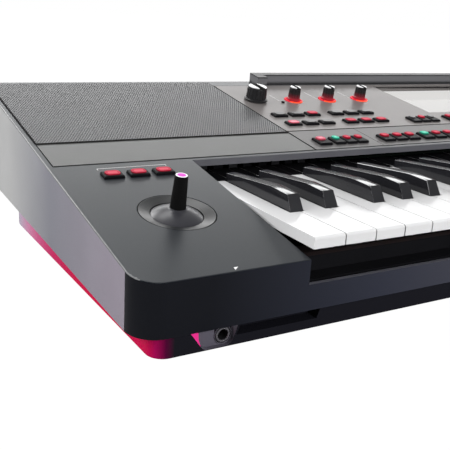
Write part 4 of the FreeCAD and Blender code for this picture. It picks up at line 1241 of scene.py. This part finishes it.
def flatBars(name, spans):
    level = nodeDeckBox("lower_panel")[1].z + markLook["lift"] * mm
    half = markLook["film"] * mm / 2
    bars = [boxPiece(name, (left, front, level - half), (right, rear, level + half))
            for left, right, front, rear in spans]
    return joinPieces(bars, name)


def deckSpot(u, v):
    # A place on the deck, from millimetres off the left end and the front, in the deck's own frame
    level = nodeDeckBox("lower_panel")[1].z
    x, y = cadBox[0].x + u * mm, cadBox[0].y + v * mm
    rise = level / math.cos(deckTilt) + y * math.tan(deckTilt)
    return flatten @ Vector((x, y, rise))


def deckPost(name, sides, radius, tall, **turn):
    clearSelection()
    bpy.ops.mesh.primitive_cylinder_add(vertices=sides, radius=radius * mm, depth=tall * mm, **turn)
    return newestPiece(name)


def printOn(mark, look="markWhite"):
    setFinish(mark, look)
    softenEdges(mark, markLook["edge"] * mm, 1)
    layOnDeck(mark)
    trimOn(mark, "case")


def blockBracket():
    first, last = nodeDeckBox("block_button_1"), nodeDeckBox("block_button_3")
    line, tick, inset, behind = lengths(markLook, "line", "tick", "inset", "behind")
    left, right, rear = first[0].x + inset, last[1].x, first[1].y + behind
    printOn(flatBars("blockBracket", [(left, right, rear - line, rear),
                                      (left, left + line, rear - tick, rear),
                                      (right - line, right, rear - tick, rear)]))


def frontTriangle():
    arrow = deckPost("frontTriangle", 3, markLook["triangle"], markLook["film"], rotation=(0, 0, math.pi))
    arrow.scale.y = markLook["triangleStretch"]
    arrow.location = deckSpot(*markLook["trianglePlace"])
    applyPlace(arrow)
    tip = min(p.co.y for p in arrow.data.vertices)
    shiftPoints(arrow, [step * mm for step in markLook["tipShift"]], lambda p: p.y < tip + close)
    printOn(arrow)


def knobDividers():
    half = markLook["dividerLine"] * mm / 2
    spans = []
    for u, front, rear in markLook["dividers"]:
        near, far = deckSpot(u, front), deckSpot(u, rear)
        spans.append((near.x - half, near.x + half, near.y, far.y))
    printOn(flatBars("knobDividers", spans))


def panelDot():
    dot = deckPost("panelDot", markLook["dotSides"], markLook["dotRadius"], markLook["dotTall"])
    dot.location = deckSpot(*markLook["dot"])
    applyPlace(dot)
    printOn(dot, "seamBlack")


blockBracket()
frontTriangle()
knobDividers()
panelDot()
print("marks printed")


# Solids that stay as they are, with a finish of their own; the boards, key rod and spring comb under the lip
# get a near black that is painted shade
innerLooks = {
    "case_screws": "plainSteel", "key_pivot_rod": "darkSteel", "key_spring_comb": "darkSteel",
    "joystick_gimbal": "plainSteel", "joystick_base": "frameBlack", "key_frame": "frameBlack",
    "key_stop_felts": "darkFelt", "left_speaker": "speakerDark", "right_speaker": "speakerDark",
    "main_board": "boardGreen", "panel_board": "boardDark", "key_contact_board": "boardDark",
    "knob_potentiometers": "socketBlack", "display_module": "screenWhite",
}
for node, look in innerLooks.items():
    setFinish(nodes[node], look)
print("inner solids finished", len(innerLooks))


# Studio: a floor and sky that the camera sees as white, and that light the part in soft ramps
studio = {"floorSize": 12.0, "shade": 0.05, "floorTone": 0.2, "white": 1.06,
          "backToFront": [(-1.0, 0.04), (-0.15, 0.08), (0.25, 0.6), (0.5, 0.76)],
          "leftToRight": [(-1.0, 1.0), (0.3, 1.0), (0.6, 0.62), (1.0, 0.4)],
          "lowToHigh": [(0.0, 0.3), (0.1, 0.55), (0.27, 1.0)]}


def bareTree(owner, kind):
    owner.use_nodes = True
    tree = owner.node_tree
    tree.nodes.clear()
    return tree, addNode(tree, "Output" + kind).inputs["Surface"]


def onlyCamera(tree, seen, other):
    path = addNode(tree, "LightPath")
    choose = addNode(tree, "MixShader")
    wire(tree, (path.outputs["Is Camera Ray"], choose.inputs["Fac"]), (other, choose.inputs[1]),
         (seen, choose.inputs[2]))
    return choose.outputs["Shader"]


def makeFloor():
    clearSelection()
    bpy.ops.mesh.primitive_plane_add(size=studio["floorSize"])
    floor = newestPiece("studioFloor")
    material = bpy.data.materials.new("floorWhite")
    tree, surface = bareTree(material, "Material")
    matt = setValues(addNode(tree, "BsdfDiffuse"), {"Color": opaque(grey(studio["floorTone"]))})
    white = setValues(addNode(tree, "Emission"), {"Strength": studio["white"]})
    blend = setValues(addNode(tree, "MixShader"), {"Fac": 1 - studio["shade"]})
    wire(tree, (matt.outputs[0], blend.inputs[1]), (white.outputs[0], blend.inputs[2]),
         (onlyCamera(tree, blend.outputs[0], matt.outputs[0]), surface))
    floor.data.materials.append(material)


def makeWorld():
    world = bpy.data.worlds.new("studioSky")
    bpy.context.scene.world = world
    tree, surface = bareTree(world, "World")
    seen = setValues(addNode(tree, "Background"), {"Color": opaque(grey(1))})
    dim = addNode(tree, "Background")
    place = addNode(tree, "TexCoord").outputs["Generated"]
    shade = None
    for axis, name in (("Y", "backToFront"), ("X", "leftToRight"), ("Z", "lowToHigh")):
        ramp = axisRamp(tree, place, axis, [(at, grey(tone)) for at, tone in studio[name]])
        shade = ramp if shade is None else mixColors(tree, shade, ramp)
    wire(tree, (shade, dim.inputs["Color"]), (onlyCamera(tree, seen.outputs[0], dim.outputs[0]), surface))


softBoxes = {
    "rearStrip": {"place": (0.9, 2.2, 1.06), "aim": (0.0, 0.0, 0.05), "size": (4.0, 0.36), "power": 18.0},
    "leftBox": {"place": (-2.2, 0.5, 0.9), "aim": (-0.4, 0.0, 0.05), "size": (1.8, 1.4), "power": 52.0},
    "topBox": {"place": (-0.35, 1.0, 2.05), "aim": (-0.4, 0.0, 0.1), "size": (1.2, 0.8), "power": 11.0},
    "overheadBox": {"place": (-0.2, -0.1, 2.3), "aim": (-0.2, -0.1, 0.0), "size": (2.4, 1.8), "power": 5.0},
    "edgeBox": {"place": (-1.0, 2.2, 1.6), "aim": (-0.4, 0.0, 0.05), "size": (1.0, 0.7), "power": 16.0},
    "rightBox": {"place": (1.35, -0.94, 0.91), "aim": (-0.25, -0.1, 0.07), "size": (0.9, 0.8), "power": 7.5},
    "frontBox": {"place": (0.2, -2.4, 0.95), "aim": (0.0, -0.1, 0.05), "size": (1.6, 1.2), "power": 80.0},
}
shining = ("rearStrip", "topBox", "edgeBox")     # the other boxes fill without a reflection


def makeLights():
    for name, box in softBoxes.items():
        light = bpy.data.lights.new(name, "AREA")
        light.shape = "RECTANGLE"
        light.size, light.size_y = box["size"]
        light.energy = box["power"]
        lamp = bpy.data.objects.new(name, light)
        lamp.location = box["place"]
        lamp.rotation_euler = (Vector(box["aim"]) - lamp.location).to_track_quat("-Z", "Y").to_euler()
        lamp.visible_camera = False
        lamp.visible_glossy = name in shining
        lamp.visible_transmission = False
        bpy.context.scene.collection.objects.link(lamp)


photoView = {"place": (-0.634106, -0.474757, 0.190754), "toward": (0.4883, 0.8173, -0.3058), "roll": 3.53,
             "lens": 56.18, "sensor": 36.0, "nearest": 0.01}


def makeCamera():
    data = bpy.data.cameras.new("photoCamera")
    data.sensor_width = photoView["sensor"]
    data.lens = photoView["lens"]
    data.clip_start = photoView["nearest"]
    camera = bpy.data.objects.new("photoCamera", data)
    camera.location = photoView["place"]
    camera.rotation_euler = Vector(photoView["toward"]).to_track_quat("-Z", "Y").to_euler()
    camera.rotation_euler.rotate_axis("Z", math.radians(photoView["roll"]))
    bpy.context.scene.collection.objects.link(camera)
    bpy.context.scene.camera = camera


makeFloor()
makeWorld()
makeLights()
makeCamera()
bpy.context.scene.view_settings.view_transform = "Standard"
print("studio ready")
